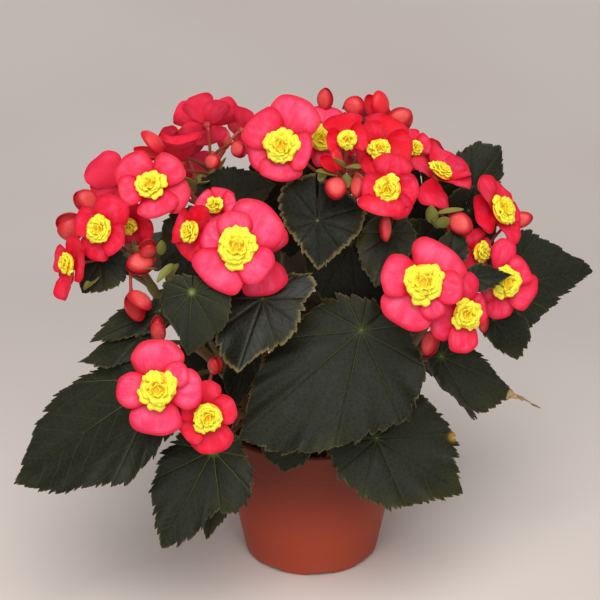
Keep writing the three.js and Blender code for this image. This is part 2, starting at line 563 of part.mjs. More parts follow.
// Rings of points round an axis, closed by a point at each end. Where a row says so, every second point
// is drawn in and down by the ruffle.
function turned(origin, frame, profile, sides, ruffle) {
  const points = [place(origin, frame, 0, 0, profile[0][1])];
  const rings = profile.slice(1, -1);
  for (const [radius, height, ruffled] of rings) {
    for (let k = 0; k < sides; k++) {
      const turn = (2 * Math.PI * k) / sides;
      const r = ruffled && k % 2 ? radius * (1 - ruffle) : radius;
      const lift = ruffled && k % 2 ? height - radius * ruffle * 0.5 : height;
      points.push(place(origin, frame, r * Math.cos(turn), r * Math.sin(turn), lift));
    }
  }
  points.push(place(origin, frame, 0, 0, profile.at(-1)[1]));
  const end = points.length - 1;
  const faces = [];
  for (let k = 0; k < sides; k++) {
    const next = (k + 1) % sides;
    faces.push(0, 1 + next, 1 + k);
    for (let i = 0; i + 1 < rings.length; i++) {
      const a = 1 + i * sides + k;
      const b = 1 + i * sides + next;
      faces.push(a, b, b + sides, a, b + sides, a + sides);
    }
    faces.push(end, end - sides + k, end - sides + next);
  }
  return solid(meshGeometry(points, faces));
}

const CENTRE_SIDES = 10;
const CENTRE_FOOT = 1.2; // how far the centre's foot is above the bloom's middle
const CENTRE_FOOT_RADIUS = 2.6;
const CENTRE_SLOPE = 0.55; // how steeply its underside rises to the rim
const CENTRE_CROWN = 2.4; // how far its highest ring is above the rim
const CENTRE_DIMPLE = 1; // how far its middle is below that ring
const CENTRE_RUFFLE = 0.16; // how far every second point of the rim is drawn in, as part of its radius

function centreProfile(radius) {
  const rim = CENTRE_FOOT + CENTRE_SLOPE * radius;
  const crown = rim + CENTRE_CROWN;
  return [
    [0, CENTRE_FOOT],
    [CENTRE_FOOT_RADIUS, CENTRE_FOOT],
    [radius, rim, true],
    [radius * 0.62, crown],
    [0, crown - CENTRE_DIMPLE],
  ];
}

// A stalk leaves its fork thicker, sags back from the way its head faces, and arches up a little.
const PEDICEL_FOOT = 1.3; // radius at the fork, as part of the ordinary radius
const BEND_AT = 0.45; // where its bend is, as part of the way
const BEND_BACK = 0.12; // how far the bend is back, as part of the stalk's reach
const BEND_UP = 0.06; // and how far up

// A stalk from the fork of a spray to a head that is a row of radius and height along the way it faces.
function headed(start, at, face, head) {
  const origin = vec(at);
  const out = facing(face);
  const reach = start.distanceTo(origin);
  const up = (height) => origin.clone().addScaledVector(out, height);
  const bend = start.clone().lerp(origin, BEND_AT).addScaledVector(out, -BEND_BACK * reach);
  bend.z += BEND_UP * reach;
  const points = [start, bend, ...head.map(([, height]) => up(height))];
  const radii = [PEDICEL_RADIUS * PEDICEL_FOOT, PEDICEL_RADIUS, ...head.map(([radius]) => radius)];
  return rod(points, radii, PEDICEL_SIDES);
}

// Petals on the knob at the end of their stalk.
function bloom({ at, face, petals }, start) {
  const frame = frameOf(facing(face));
  const knob = [[PEDICEL_RADIUS, -CORE_DEPTH], [CORE_RADIUS, -1.8], [CORE_RADIUS * 0.6, 0.8]];
  return fuse([headed(start, at, face, knob), ...petals.map((row) => petal(vec(at), frame, row))]);
}

function bloomCentre({ at, face, centre }) {
  return turned(vec(at), frameOf(facing(face)), centreProfile(centre), CENTRE_SIDES, CENTRE_RUFFLE);
}

function bud({ at, face, length, width }, start) {
  const half = length / 2;
  const w = width / 2;
  const head = [[PEDICEL_RADIUS, -half], [w * 0.9, -half * 0.45], [w * 0.86, half * 0.3], [0.5, half]];
  return headed(start, at, face, head);
}

// ---- Pot and soil ----
function lathe(profile, sides) {
  const points = profile.map(([r, z]) => new THREE.Vector2(r, z));
  return solid(new THREE.LatheGeometry(points, sides).rotateX(Math.PI / 2));
}

const sideRadius = (z) =>
  THREE.MathUtils.mapLinear(z, 0, POT_HEIGHT, POT_FOOT_RADIUS, POT_TOP_RADIUS - BAND_STEP);
const innerRadius = (z) => sideRadius(z) - POT_WALL;

function pot() {
  const lip = 1.2;
  const body = lathe(
    [
      [0, 0],
      [PAD_RADIUS, 0],
      [PAD_RADIUS + 1.5, FOOT_RECESS],
      [POT_FOOT_RADIUS - FOOT_RING - 1.5, FOOT_RECESS],
      [POT_FOOT_RADIUS - FOOT_RING, 0],
      [POT_FOOT_RADIUS - 1, 0],
      [sideRadius(1.5), 1.5],
      [sideRadius(BAND_BOTTOM), BAND_BOTTOM],
      [sideRadius(BAND_BOTTOM) + BAND_STEP, BAND_BOTTOM + 1],
      [POT_TOP_RADIUS, POT_HEIGHT - lip],
      [POT_TOP_RADIUS - lip, POT_HEIGHT],
      [innerRadius(POT_HEIGHT), POT_HEIGHT],
      [innerRadius(POT_FLOOR), POT_FLOOR],
      [0, POT_FLOOR],
    ],
    POT_SIDES,
  );
  const channels = [];
  for (let i = 0; i < CHANNELS; i++) {
    const length = FOOT_RING + 8;
    const box = new THREE.BoxGeometry(length, CHANNEL_WIDTH, 2 * FOOT_RECESS);
    box.translate(POT_FOOT_RADIUS - FOOT_RING / 2 + 1, 0, 0);
    box.rotateZ(degrees(-90 + CHANNEL_TURN) + (2 * Math.PI * i) / CHANNELS);
    channels.push(solid(box));
  }
  return channels.reduce((all, channel) => all.subtract(channel), body);
}

function soil(holes) {
  const wall = GAP + 0.1;
  const body = lathe(
    [
      [0, POT_FLOOR + GAP],
      [innerRadius(POT_FLOOR) - wall, POT_FLOOR + GAP],
      [innerRadius(SOIL_TOP) - wall, SOIL_TOP - 1],
      [innerRadius(SOIL_TOP) * 0.72, SOIL_TOP + SOIL_MOUND],
      [innerRadius(SOIL_TOP) * 0.3, SOIL_TOP],
      [0, SOIL_TOP + 1.5],
    ],
    SOIL_SIDES,
  );
  return holes.reduce((all, hole) => all.subtract(hole), body);
}

// ---- The plant ----
const plant = new THREE.Group();
plant.name = "potted_begonia";

function add(name, body, material) {
  const mesh = new THREE.Mesh(geometryOf(body), material.clone());
  mesh.name = name;
  plant.add(mesh);
}

function stemCurve([foot, ...higher]) {
  const start = [...foot, HOLE_BOTTOM + GAP];
  return new THREE.CatmullRomCurve3([start, ...higher].map(vec));
}

const curves = {};
for (const [name, points] of Object.entries(STEMS)) curves[name] = stemCurve(points);
const STEM_STEPS = 5;

add("pot", pot(), POT_FINISH);

const holes = Object.values(curves).map((curve) => {
  const foot = curve.getPointAt(0);
  const higher = curve.getPointAt(0.3);
  const away = foot.clone().sub(higher).normalize();
  const low = foot.clone().addScaledVector(away, GAP);
  const points = [low, curve.getPointAt(1 / STEM_STEPS), curve.getPointAt(2 / STEM_STEPS)];
  return rod(points, taper(STEM_RADIUS + 0.6, STEM_RADIUS + 0.6, 3), STEM_SIDES);
});
add("soil", soil(holes), SOIL_FINISH);

// Each stem's node gathers its rod, its small leaves and the stalks of its big leaves.
const green = {};
for (const [name, curve] of Object.entries(curves)) {
  const points = curve.getSpacedPoints(STEM_STEPS);
  green[name] = [rod(points, taper(STEM_RADIUS, STEM_TIP_RADIUS, points.length), STEM_SIDES)];
}

// The wave along each leaf's edge starts elsewhere, so that no two leaves are alike.
const SMALL_TURN = 2.2;
const BIG_TURN = 3.7;
for (const [i, row] of SMALL_LEAVES.entries()) {
  const from = curves[row.stem].getPointAt(row.at);
  green[row.stem].push(leafBlade(row, i * SMALL_TURN, from).body);
}

for (const [i, row] of BIG_LEAVES.entries()) {
  const leaf = leafBlade(row, i * BIG_TURN);
  add(row.name, leaf.body, LEAF_FINISH);
  green[row.stem].push(stalk(leaf, curves[row.stem].getPointAt(row.at)));
}

for (const [name, pieces] of Object.entries(green)) add(name, fuse(pieces), STEM_FINISH);

for (const [name, { stem, blooms, buds }] of Object.entries(SPRAYS)) {
  const tip = curves[stem].getPointAt(1);
  const up = curves[stem].getTangentAt(1);
  const along = (distance) => tip.clone().addScaledVector(up, distance);
  const stub = rod([along(GAP), along(FORK)], [STEM_TIP_RADIUS, STEM_TIP_RADIUS * 0.8], STEM_SIDES);
  const pieces = [stub];
  const count = blooms.length + buds.length;
  const start = (i) => along(FIRST_STALK + (LAST_STALK - FIRST_STALK) * (i / (count - 1)));
  blooms.forEach((row, i) => {
    pieces.push(bloom(row, start(i)));
    if (row.name) add(row.name, bloomCentre(row), CENTRE_FINISH);
  });
  buds.forEach((row, i) => pieces.push(bud(row, start(blooms.length + i))));
  add(name, fuse(pieces), PETAL_FINISH);
}

export default plant;
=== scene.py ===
"""Potted begonia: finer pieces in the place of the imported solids, with their finishes.

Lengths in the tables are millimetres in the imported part's frame: +Z is up, the origin is the centre of
the pot's underside, and the front of the plant looks towards -Y. Meshes are written in metres.
"""
from functools import cache

import bpy
import numpy as np
from bpy.props import FloatProperty, FloatVectorProperty, PointerProperty
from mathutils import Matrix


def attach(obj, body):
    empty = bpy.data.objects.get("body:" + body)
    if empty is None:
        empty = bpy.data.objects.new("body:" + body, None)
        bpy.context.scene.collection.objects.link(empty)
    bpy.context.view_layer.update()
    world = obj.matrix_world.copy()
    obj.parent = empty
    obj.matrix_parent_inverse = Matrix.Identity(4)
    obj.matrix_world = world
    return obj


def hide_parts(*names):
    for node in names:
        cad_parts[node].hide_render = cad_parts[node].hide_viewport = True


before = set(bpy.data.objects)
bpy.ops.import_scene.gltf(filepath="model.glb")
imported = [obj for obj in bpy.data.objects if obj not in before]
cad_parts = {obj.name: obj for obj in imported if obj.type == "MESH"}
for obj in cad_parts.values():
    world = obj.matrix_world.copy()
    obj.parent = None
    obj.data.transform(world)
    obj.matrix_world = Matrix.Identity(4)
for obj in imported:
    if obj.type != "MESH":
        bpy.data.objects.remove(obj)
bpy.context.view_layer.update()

bl_info = {
    "name": "Potted begonia",
    "version": (1, 0, 0),
    "blender": (4, 5, 0),
    "location": "View3D > Sidebar > Begonia",
    "description": "Builds the fine pieces of a potted begonia with double blooms",
    "category": "Add Mesh",
}

MM = 0.001


# ---- Directions ----

def unit(v):
    """The vectors at length one."""
    return v / np.maximum(np.linalg.norm(v, axis=-1, keepdims=True), 1e-12)


def facing(azimuth, elevation):
    """The unit vector at an azimuth and elevation in degrees."""
    a, e = np.radians([azimuth, elevation])
    return np.array([np.cos(e) * np.cos(a), np.cos(e) * np.sin(a), np.sin(e)])


def square(v, out):
    """The part of v that is square to out, at length one."""
    return unit(v - out * (v @ out))


def axes_of(out):
    """Right, up and out for something that faces out, seen from in front."""
    up = square(np.array([0.0, 1.0, 0.0] if abs(out[2]) > 0.98 else [0.0, 0.0, 1.0]), out)
    return np.stack([np.cross(up, out), up, out])


# ---- Tables ----

ORDINARY = [0.42, 0.5, 0.57, 0.62, 0.76, 1, 0.72, 0.57, 0.52, 0.47, 0.4]  # reach as parts of the length


def leaf(stem, at, hub, tip, face, reach=None, veins=0.3, tan=None, dark=0.0):
    """A leaf: its stem, the share of the stem's length where the stalk leaves it, the hub where the veins
    meet, the tip, the way the upper face looks (azimuth and elevation), and how far the edge is from the
    hub in equal steps round from the tip, 15 degrees for the broad leaves and 30 for the small ones.
    veins is how green the veins are, tan how brown and ruffled the margin is, and dark how much painted
    shade takes the blade towards black."""
    hub, along, out = np.array(hub, float), np.subtract(tip, hub).astype(float), facing(*face)
    length = np.linalg.norm(along)
    along /= length
    reach = reach or [part * length for part in ORDINARY]
    return dict(stem="stem_" + stem, at=at, hub=hub, along=along, out=square(out, along), length=length,
                reach=np.array(reach, float), ruffle=1.2 + 1.3 * (tan or 0), veins=veins,
                tan=0.3 if tan is None else tan, dark=dark)


def bloom(name, at, face, radius, youth, *petals):
    """A bloom: what its centre is called, or None where the centre is out of sight, its middle, the way
    it faces, the radius of its yellow centre, its youth (0 wide open and pink, 1 just opened and red) and
    its petals as direction, length, width and layer."""
    return dict(name=name, at=np.array(at, float), out=facing(*face), radius=radius, youth=youth,
                petals=petals)


# Stems: where each stands in the soil, and the points it passes through up to its tip.
STEMS = {
    "stem_left": [[-26, -6], [-50, -16, 128], [-86, -26, 176], [-108, -26, 216]],
    "stem_middle": [[-12, -24], [-26, -38, 128], [-40, -50, 178], [-46, -56, 218]],
    "stem_top": [[4, 2], [6, -8, 140], [12, -18, 210], [18, -24, 258]],
    "stem_right": [[28, -2], [54, -12, 128], [84, -22, 176], [100, -28, 212]],
    "stem_near": [[18, -26], [34, -40, 120], [54, -52, 160], [72, -62, 196]],
    "stem_upper": [[-18, 16], [-34, 22, 140], [-52, 28, 200], [-64, 32, 250]],
    "stem_rear": [[14, 24], [22, 44, 140], [34, 62, 190], [38, 74, 232]],
    "stem_rear_left": [[-6, 34], [-28, 52, 130], [-56, 68, 170], [-72, 78, 208]],
    "stem_low": [[-28, -20], [-36, -32, 108], [-50, -66, 134], [-62, -92, 150]],
}

# A leaf's dark is painted shade: the blades inside the crown, and the front leaf that faces the lamps, are
# taken towards black.
BROAD_LEAVES = {
    "leaf_far_left": leaf(
        "left", 0.45, [-93, -85, 165], [-188, -103, 107], [-112, 42], veins=0.5, tan=0.2,
        reach=[17, 17, 18, 20, 22, 25, 31, 36, 46, 71, 86, 113, 93, 72, 66, 41, 33, 28, 25, 23, 19, 18, 17]),
    "leaf_low_left": leaf(
        "low", 0.45, [-61, -92, 121], [-94, -124, 71], [-97, 36], veins=1.0, tan=0.3,
        reach=[14, 15, 16, 17, 19, 23, 25, 31, 36, 46, 53, 68, 56, 37, 41, 39, 34, 28, 22, 19, 18, 18, 15]),
    "leaf_front": leaf(
        "near", 0.55, [30, -72, 194], [-45, -110, 140], [-93, 38], veins=0.25, tan=0.35, dark=0.35,
        reach=[19, 20, 20, 22, 24, 27, 31, 35, 44, 57, 75, 100, 90, 79, 68, 62, 62, 53, 48, 36, 30, 25, 22]),
    "leaf_low_right": leaf(
        "near", 0.3, [40, -78, 122], [95, -92, 92], [-82, 36], veins=0.35, tan=0.3,
        reach=[24, 27, 30, 32, 34, 34, 37, 41, 45, 47, 53, 65, 52, 52, 46, 42, 41, 29, 22, 19, 17, 17, 18]),
    "leaf_right": leaf(
        "near", 0.7, [80, -58, 169], [126, -61, 146], [-72, 36], veins=0.5, tan=0.1,
        reach=[7, 8, 9, 10, 11, 13, 16, 20, 30, 44, 47, 52, 34, 25, 23, 21, 17, 14, 12, 10, 9, 8, 7]),
    "leaf_far_right": leaf(
        "right", 0.75, [118, -18, 197], [187, 16, 198], [-62, 48], veins=0.5, tan=0.1,
        reach=[13, 15, 18, 24, 25, 29, 31, 32, 33, 38, 47, 74, 59, 53, 50, 36, 27, 22, 18, 14, 12, 11, 11]),
    "leaf_young": leaf(
        "middle", 0.7, [-72, -98, 232], [-75, -117, 199], [-96, 30], veins=1.0, tan=0.0,
        reach=[10, 12, 14, 15, 18, 18, 20, 20, 22, 22, 26, 38, 32, 29, 29, 27, 25, 23, 20, 17, 14, 12, 10]),
    "leaf_glossy": leaf(
        "middle", 0.75, [-30, -80, 219], [-45, -113, 186], [-92, 46], veins=0.15, tan=1.0, dark=0.8,
        reach=[12, 12, 13, 14, 18, 20, 24, 29, 34, 38, 44, 49, 35, 31, 31, 29, 26, 25, 26, 33, 34, 25, 18]),
    "leaf_centre": leaf(
        "top", 0.75, [3, -58, 261], [3, -77, 238], [-95, 40], veins=0.35, tan=0.9, dark=1.0,
        reach=[30, 32, 31, 28, 23, 21, 19, 18, 18, 20, 23, 30, 26, 24, 24, 25, 27, 28, 31, 28, 26, 26, 26]),
}
# Here too dark is painted shade on the small leaves inside the crown.
SMALL_LEAVES = [
    leaf("left", 0.6, [-106, -62, 184], [-147, -64, 170], [-115, 55],
         reach=[9, 9, 10, 12, 17, 43, 28, 15, 12, 11, 9]),
    leaf("left", 0.7, [-94, -55, 199], [-138, -62, 182], [-110, 52],
         reach=[9, 9, 10, 12, 27, 48, 21, 13, 12, 11, 9]),
    leaf("left", 0.9, [-131, -34, 224], [-142, -42, 208], [-105, 25], dark=0.5,
         reach=[12, 13, 14, 16, 18, 24, 20, 20, 20, 18, 14]),
    leaf("low", 0.62, [-60, -74, 86], [-67, -91, 53], [-90, 30],
         reach=[9, 10, 12, 14, 19, 35, 20, 14, 12, 10, 9]),
    leaf("middle", 0.5, [-38, -68, 180], [-51, -78, 138], [-120, 20], dark=0.9,
         reach=[9, 10, 12, 15, 27, 44, 19, 12, 10, 9, 9]),
    leaf("right", 0.65, [113, -45, 188], [129, -54, 165], [-75, 30],
         reach=[8, 9, 10, 12, 18, 30, 28, 22, 12, 9, 8]),
    leaf("right", 0.95, [101, 12, 251], [120, 24, 276], [-85, 22],
         reach=[8, 9, 11, 14, 23, 34, 31, 24, 13, 9, 8]),
    leaf("right", 0.9, [97, -78, 232], [121, -72, 232], [-70, 50],
         reach=[6, 7, 9, 11, 14, 25, 15, 11, 8, 7, 6]),
    leaf("right", 0.85, [83, -66, 238], [87, -54, 255], [-80, 35], dark=0.8,
         reach=[7, 8, 9, 13, 17, 22, 15, 12, 9, 8, 7]),
    leaf("top", 0.8, [48, -55, 252], [38, -83, 229], [-85, 50], dark=0.9,
         reach=[13, 14, 16, 22, 27, 38, 22, 18, 16, 14, 13]),
    leaf("upper", 0.8, [-52, -20, 258], [-22, -8, 266], [-95, 62], dark=0.9,
         reach=[12, 14, 16, 18, 22, 33, 30, 28, 27, 25, 20]),
    leaf("middle", 0.3, [-14, -72, 126], [-17, -86, 102], [-90, 30],
         reach=[12, 14, 18, 22, 24, 28, 24, 20, 16, 13, 12]),
    leaf("top", 0.6, [24, -34, 236], [30, -52, 182], [-88, 26], dark=1.0,
         reach=[22, 26, 30, 34, 42, 58, 40, 34, 30, 27, 22]),
    leaf("top", 0.85, [-8, 6, 264], [-15, -2, 208], [-98, 24], dark=0.9),
    leaf("right", 0.7, [64, -40, 236], [82, -52, 200], [-75, 32], dark=0.9),
    leaf("left", 0.8, [-70, -30, 240], [-84, -52, 206], [-105, 38], dark=0.9),
    leaf("rear_left", 0.8, [-100, 40, 205], [-160, 62, 176], [150, 55]),
    leaf("rear_left", 0.6, [-74, 100, 185], [-112, 148, 142], [122, 40]),
    leaf("rear_left", 0.35, [-20, 100, 178], [-26, 148, 124], [96, 35]),
    leaf("rear", 0.55, [46, 104, 182], [72, 150, 132], [66, 38]),
    leaf("rear", 0.65, [92, 60, 200], [148, 84, 162], [38, 50]),
    leaf("upper", 0.75, [-16, 76, 236], [-30, 116, 216], [105, 55]),
    leaf("rear", 0.85, [76, 50, 246], [112, 72, 230], [50, 58]),
    leaf("upper", 0.5, [-58, 14, 192], [-104, 22, 178], [150, 60]),
    leaf("rear", 0.5, [60, 30, 192], [108, 44, 180], [30, 60]),
    leaf("rear", 0.7, [4, 40, 228], [10, 82, 214], [88, 62]),
    leaf("right", 0.85, [70, 0, 252], [76, -10, 206], [-85, 25], dark=0.9),
    leaf("left", 0.42, [-68, 2, 150], [-58, -6, 104], [-95, 22], dark=0.6,
         reach=[8, 12, 18, 23, 32, 46, 32, 23, 18, 12, 8]),
    leaf("right", 0.3, [72, 14, 134], [116, 30, 84], [14, 36]),
    leaf("rear", 0.3, [14, 76, 138], [20, 112, 84], [86, 32]),
    leaf("rear_left", 0.25, [-52, 62, 130], [-88, 92, 82], [140, 34]),
    leaf("rear", 0.25, [62, 62, 134], [96, 90, 84], [40, 34]),
    leaf("left", 0.38, [-82, 36, 126], [-120, 54, 82], [155, 34]),
    leaf("left", 0.35, [-82, 10, 174], [-130, 14, 150], [176, 50]),
    leaf("right", 0.4, [80, 4, 182], [124, 16, 168], [24, 55]),
    leaf("right", 0.95, [98, -8, 246], [108, -16, 212], [-78, 28], dark=1.0),
]
TIP_DRIED = [[121, -60, 144], [127, -62, 143], [133, -61.5, 140.5], [138, -62.5, 137.5], [143.5, -60, 133.5]]
YELLOW_SPOT = [88.6, -69.4, 118.3]
YELLOW_RADIUS = 3.3

# The sprays, each on the stem of its name. FIVE petals fill an ordinary bloom; in FIVE_SHORTER the three
# upper ones are shorter.
FIVE = [[90, 21, 25, 0], [162, 20, 22, 1], [234, 21, 24, 0], [306, 19, 21, 1], [18, 20, 22, 2]]
FIVE_SHORTER = [[90, 15, 22, 0], [162, 17, 20, 1], [234, 21, 24, 0], [306, 19, 21, 1], [18, 16, 20, 2]]
BLOOMS = {
    "left": [
        bloom("top", [-99, -25, 269], [-97, 38], 10, 0.5,
              [140, 26, 27, 0], [45, 24, 22, 1], [-18, 25, 24, 0], [-65, 21, 26, 1], [200, 20, 20, 2]),
        bloom("middle", [-128, -40, 247], [-120, 24], 9.5, 0.75,
              [75, 22, 27, 0], [170, 20, 20, 1], [255, 20, 23, 0], [-20, 18, 22, 1]),
        bloom("low", [-148, -42, 225], [-142, 14], 7.5, 0.85,
              [90, 17, 22, 0], [10, 18, 20, 1], [180, 16, 18, 1], [245, 17, 18, 0], [290, 23, 18, 2]),
        bloom("hidden", [-112, -22, 243], [-112, 0], 6, 0.8,
              [90, 15, 18, 0], [180, 15, 16, 1], [270, 14, 18, 0], [0, 16, 17, 1]),
        bloom(None, [-121, 12, 255], [112, -8], 0, 0.6,
              [48, 25, 27, 0], [335, 19, 22, 1], [140, 17, 20, 1], [250, 15, 20, 0]),
    ],
    "middle": [
        bloom("front", [-45, -88, 256], [-90, 28], 13, 0.05,
              [50, 31, 36, 1], [150, 23, 22, 0], [232, 28, 34, 1], [318, 25, 24, 2], [96, 22, 22, 2]),
        bloom("side", [-70, -72, 259], [-144, 24], 8, 0.95,
              [100, 17, 22, 0], [180, 18, 22, 1], [260, 17, 24, 0], [0, 14, 18, 1]),
        bloom("behind", [-58, -56, 269], [-110, 40], 6, 0.3,
              [80, 13, 16, 0], [165, 13, 15, 1], [20, 13, 15, 1], [270, 12, 14, 0]),
        bloom(None, [-34, -80, 248], [-78, 8], 0, 0.5,
              [286, 27, 29, 0], [42, 24, 17, 0], [180, 14, 18, 1]),
    ],
    "top": [
        bloom("left", [-18, -36, 300], [-98, 26], 11.5, 0.3,
              [140, 26, 28, 1], [72, 32, 32, 0], [205, 22, 22, 0], [272, 21, 28, 1], [350, 19, 24, 2]),
        bloom("middle", [6, -14, 296], [-90, 30], 9, 0.1,
              [200, 20, 18, 0], [78, 21, 26, 0], [135, 20, 18, 1], [290, 17, 20, 0], [20, 18, 20, 1]),
        bloom("red", [20, -44, 308], [-80, 20], 7, 1.0,
              [98, 16, 24, 0], [180, 12, 16, 1], [10, 13, 18, 1]),
        bloom("right", [40, -32, 296], [-78, 34], 7.5, 1.0,
              [60, 23, 28, 0], [115, 18, 20, 1], [185, 14, 18, 0], [250, 17, 20, 1], [0, 20, 22, 2]),
        bloom("low", [46, -64, 285], [-104, 14], 9.5, 0.7,
              [85, 21, 24, 0], [5, 19, 21, 2], [262, 15, 30, 4], [182, 15, 22, 3], [312, 20, 16, 2]),
        bloom("far", [62, -10, 288], [-62, 32], 5.5, 0.7,
              [90, 13, 16, 0], [170, 13, 14, 1], [270, 13, 16, 0], [10, 13, 14, 1]),
    ],
    "right": [
        bloom("top", [76, -32, 279], [-10, 56], 8.5, 0.65,
              [208, 19, 26, -3], [90, 19, 20, 0], [0, 18, 27, 3], [272, 21, 20, 2], [318, 20, 20, 3]),
        bloom("middle", [114, -28, 253], [-38, 32], 10.5, 0.8,
              [45, 21, 23, 0], [165, 20, 26, 0], [275, 22, 18, 1], [-25, 18, 16, 1], [118, 28, 17, 2]),
        bloom("inner", [101, -44, 234], [-45, 12], 7, 0.7,
              [90, 14, 18, 0], [200, 16, 20, 1], [270, 14, 16, 0], [0, 12, 14, 1]),
        bloom("low", [116, -58, 220], [-66, 20], 11, 0.5,
              [78, 27, 17, 0], [328, 23, 24, 1], [255, 23, 20, 0], [30, 18, 20, 2], [180, 17, 20, 1]),
    ],
    "near": [
        bloom("left", [66, -98, 238], [-92, 26], 13, 0.3,
              [58, 26, 36, 0], [165, 26, 26, 1], [238, 30, 32, 0], [292, 23, 15, 1], [350, 24, 20, 2]),
        bloom("right", [91, -94, 216], [-74, 16], 10, 0.5,
              [178, 22, 32, 0], [98, 27, 22, 1], [8, 15, 20, 0], [258, 24, 19, 1]),
    ],
    "low": [
        bloom("left", [-92, -120, 179], [-92, 22], 12.5, 0.05,
              [92, 29, 32, 0], [185, 25, 22, 1], [265, 29, 31, 0], [0, 27, 24, 1], [38, 22, 16, 2]),
        bloom("right", [-63, -118, 159], [-86, 20], 10, 0.75,
              [88, 22, 16, 0], [22, 18, 19, 1], [280, 23, 26, 0], [212, 19, 20, 1], [150, 17, 16, 2]),
    ],
    "upper": [
        bloom(None, [-67, 40, 285], [104, 12], 0, 0.6,
              [70, 22, 20, 1], [122, 20, 17, 0], [168, 23, 21, 2], [18, 21, 19, 2], [-34, 19, 19, 0],
              [250, 16, 22, 0]),
        bloom(None, [-82, 10, 271], [-100, 85], 0, 0.95,
              [90, 14, 26, 4], [270, 14, 25, 6]),
        bloom(None, [-44, 48, 278], [50, 8], 0, 0.8,
              [90, 18, 20, 0], [270, 17, 20, 0], [0, 15, 16, 1]),
    ],
    "rear": [
        bloom("top", [36, 84, 273], [84, 40], 9, 0.3, *FIVE_SHORTER),
        bloom("right", [74, 88, 246], [56, 26], 9, 0.5, *FIVE_SHORTER),
        bloom("low", [30, 110, 236], [92, 14], 10, 0.1, *FIVE),
    ],
    "rear_left": [
        bloom("top", [-85, 93, 250], [122, 36], 10, 0.2, *FIVE),
        bloom("side", [-116, 72, 232], [152, 24], 9.5, 0.5, *FIVE),
        bloom("low", [-78, 118, 216], [110, 12], 10, 0.35, *FIVE),
    ],
}
# Buds: the middle, the way they point, their length and width, how far their two petals stand apart in
# degrees, and where given their spin about their length and how dark they are.
BUDS = {
    "left": [
        [[-142, -2, 250], [-170, 40], 16, 14, 14, 25], [[-151, -13, 237], [-165, 20], 19, 17, 24, -30],
        [[-106, -42, 225], [-165, -8], 18, 14, 14, 18], [[-101, -44, 236], [-60, 60], 13, 11, 16, 30],
        [[-107, -61, 206], [-60, -30], 19, 15, 30, -50],
    ],
    "top": [
        [[8, -2, 318], [0, 88], 14, 10, 6], [[26, -8, 316], [40, 70], 12, 13, 14, None, 0.3],
        [[14, -62, 284], [-90, -50], 14, 13, 5], [[27, -60, 284], [-90, -55], 14, 9, 4],
        [[12, -56, 299], [-160, 45], 14, 12, 36, 50, 0.9], [[44, -68, 260], [-90, -80], 16, 7, 3],
        [[40, 4, 312], [130, 60], 17, 14, 30, 40, 0.8], [[54, 4, 304], [20, 20], 16, 11, 20],
    ],
    "right": [
        [[90, -54, 257], [-40, -24], 17, 13, 5, 8], [[130, -18, 244], [-10, 20], 15, 10, 12],
        [[106, -52, 190], [-80, -75], 14, 7, 4],
    ],
    "near": [
        [[72, -80, 189], [-120, -60], 16, 10, 14],
    ],
    "low": [
        [[-93, -92, 204], [-100, 80], 18, 9, 14], [[-59, -96, 182], [-60, 60], 13, 9, 10],
    ],
    "upper": [
        [[-101, 6, 283], [165, 25], 20, 15, 34, 62, 0.4], [[-62, 6, 273], [-90, -70], 10, 10, 6],
        [[-46, 14, 278], [-60, -20], 12, 10, 8],
    ],
    "rear": [
        [[60, 70, 276], [60, 60], 15, 11, 14], [[54, 108, 226], [70, -40], 14, 10, 6],
    ],
    "rear_left": [
        [[-58, 96, 252], [90, 60], 14, 10, 10], [[-104, 104, 214], [140, -30], 14, 10, 16],
    ],
}
# Bracts: the foot, the way they point, length and width.
BRACTS = {
    "left": [
        [[-106, -36, 228], [-112, 50], 11, 8], [[-86, -56, 232], [-140, -45], 15, 7],
        [[-90, -55, 221], [30, 35], 12, 8], [[-93, -44, 233], [-80, 60], 12, 6],
        [[-133, -38, 216], [-150, -45], 13, 8], [[-96, -40, 222], [-130, 10], 12, 7],
    ],
    "right": [
        [[73, -49, 256], [-110, 75], 12, 8], [[79, -56, 256], [-80, 60], 9, 9],
        [[76, -50, 264], [-8, 2], 16, 7], [[76, -52, 254], [-130, 50], 8, 6],
    ],
    "top": [
        [[19, -60, 298], [-140, 35], 11, 8], [[20, -62, 299], [-50, 5], 13, 8],
        [[14, -58, 292], [-160, 10], 13, 8], [[30, -50, 286], [-20, -10], 14, 8],
        [[20, -54, 290], [-80, -40], 10, 6], [[8, -54, 292], [-120, -30], 9, 6],
        [[27, -56, 291], [-70, -50], 9, 6],
    ],
    "upper": [
        [[-80, 6, 264], [-170, 40], 14, 9], [[-73, 0, 258], [-120, 40], 16, 9],
        [[-64, 6, 260], [-60, 55], 12, 7], [[-70, -2, 262], [-60, 20], 12, 7],
        [[-60, 10, 266], [-30, 50], 12, 6],
    ],
    "middle": [[[-52, -66, 246], [-150, -10], 11, 7], [[-46, -66, 238], [-60, -20], 10, 7]],
    "near": [[[76, -74, 204], [-130, -10], 11, 7], [[80, -72, 202], [-40, -10], 11, 7]],
    "low": [[[-78, -100, 168], [-160, 10], 10, 6], [[-74, -102, 164], [-40, -20], 10, 6]],
    "rear": [[[42, 80, 248], [40, 40], 12, 8], [[38, 84, 244], [130, 20], 12, 8]],
    "rear_left": [[[-76, 84, 222], [60, 40], 12, 8], [[-80, 86, 220], [160, 10], 12, 8]],
}


# ---- Sizes and colours that a user would change ----

def measure(name, description, default):
    """A length property in metres."""
    return FloatProperty(name=name, description=description, default=default, unit="LENGTH")


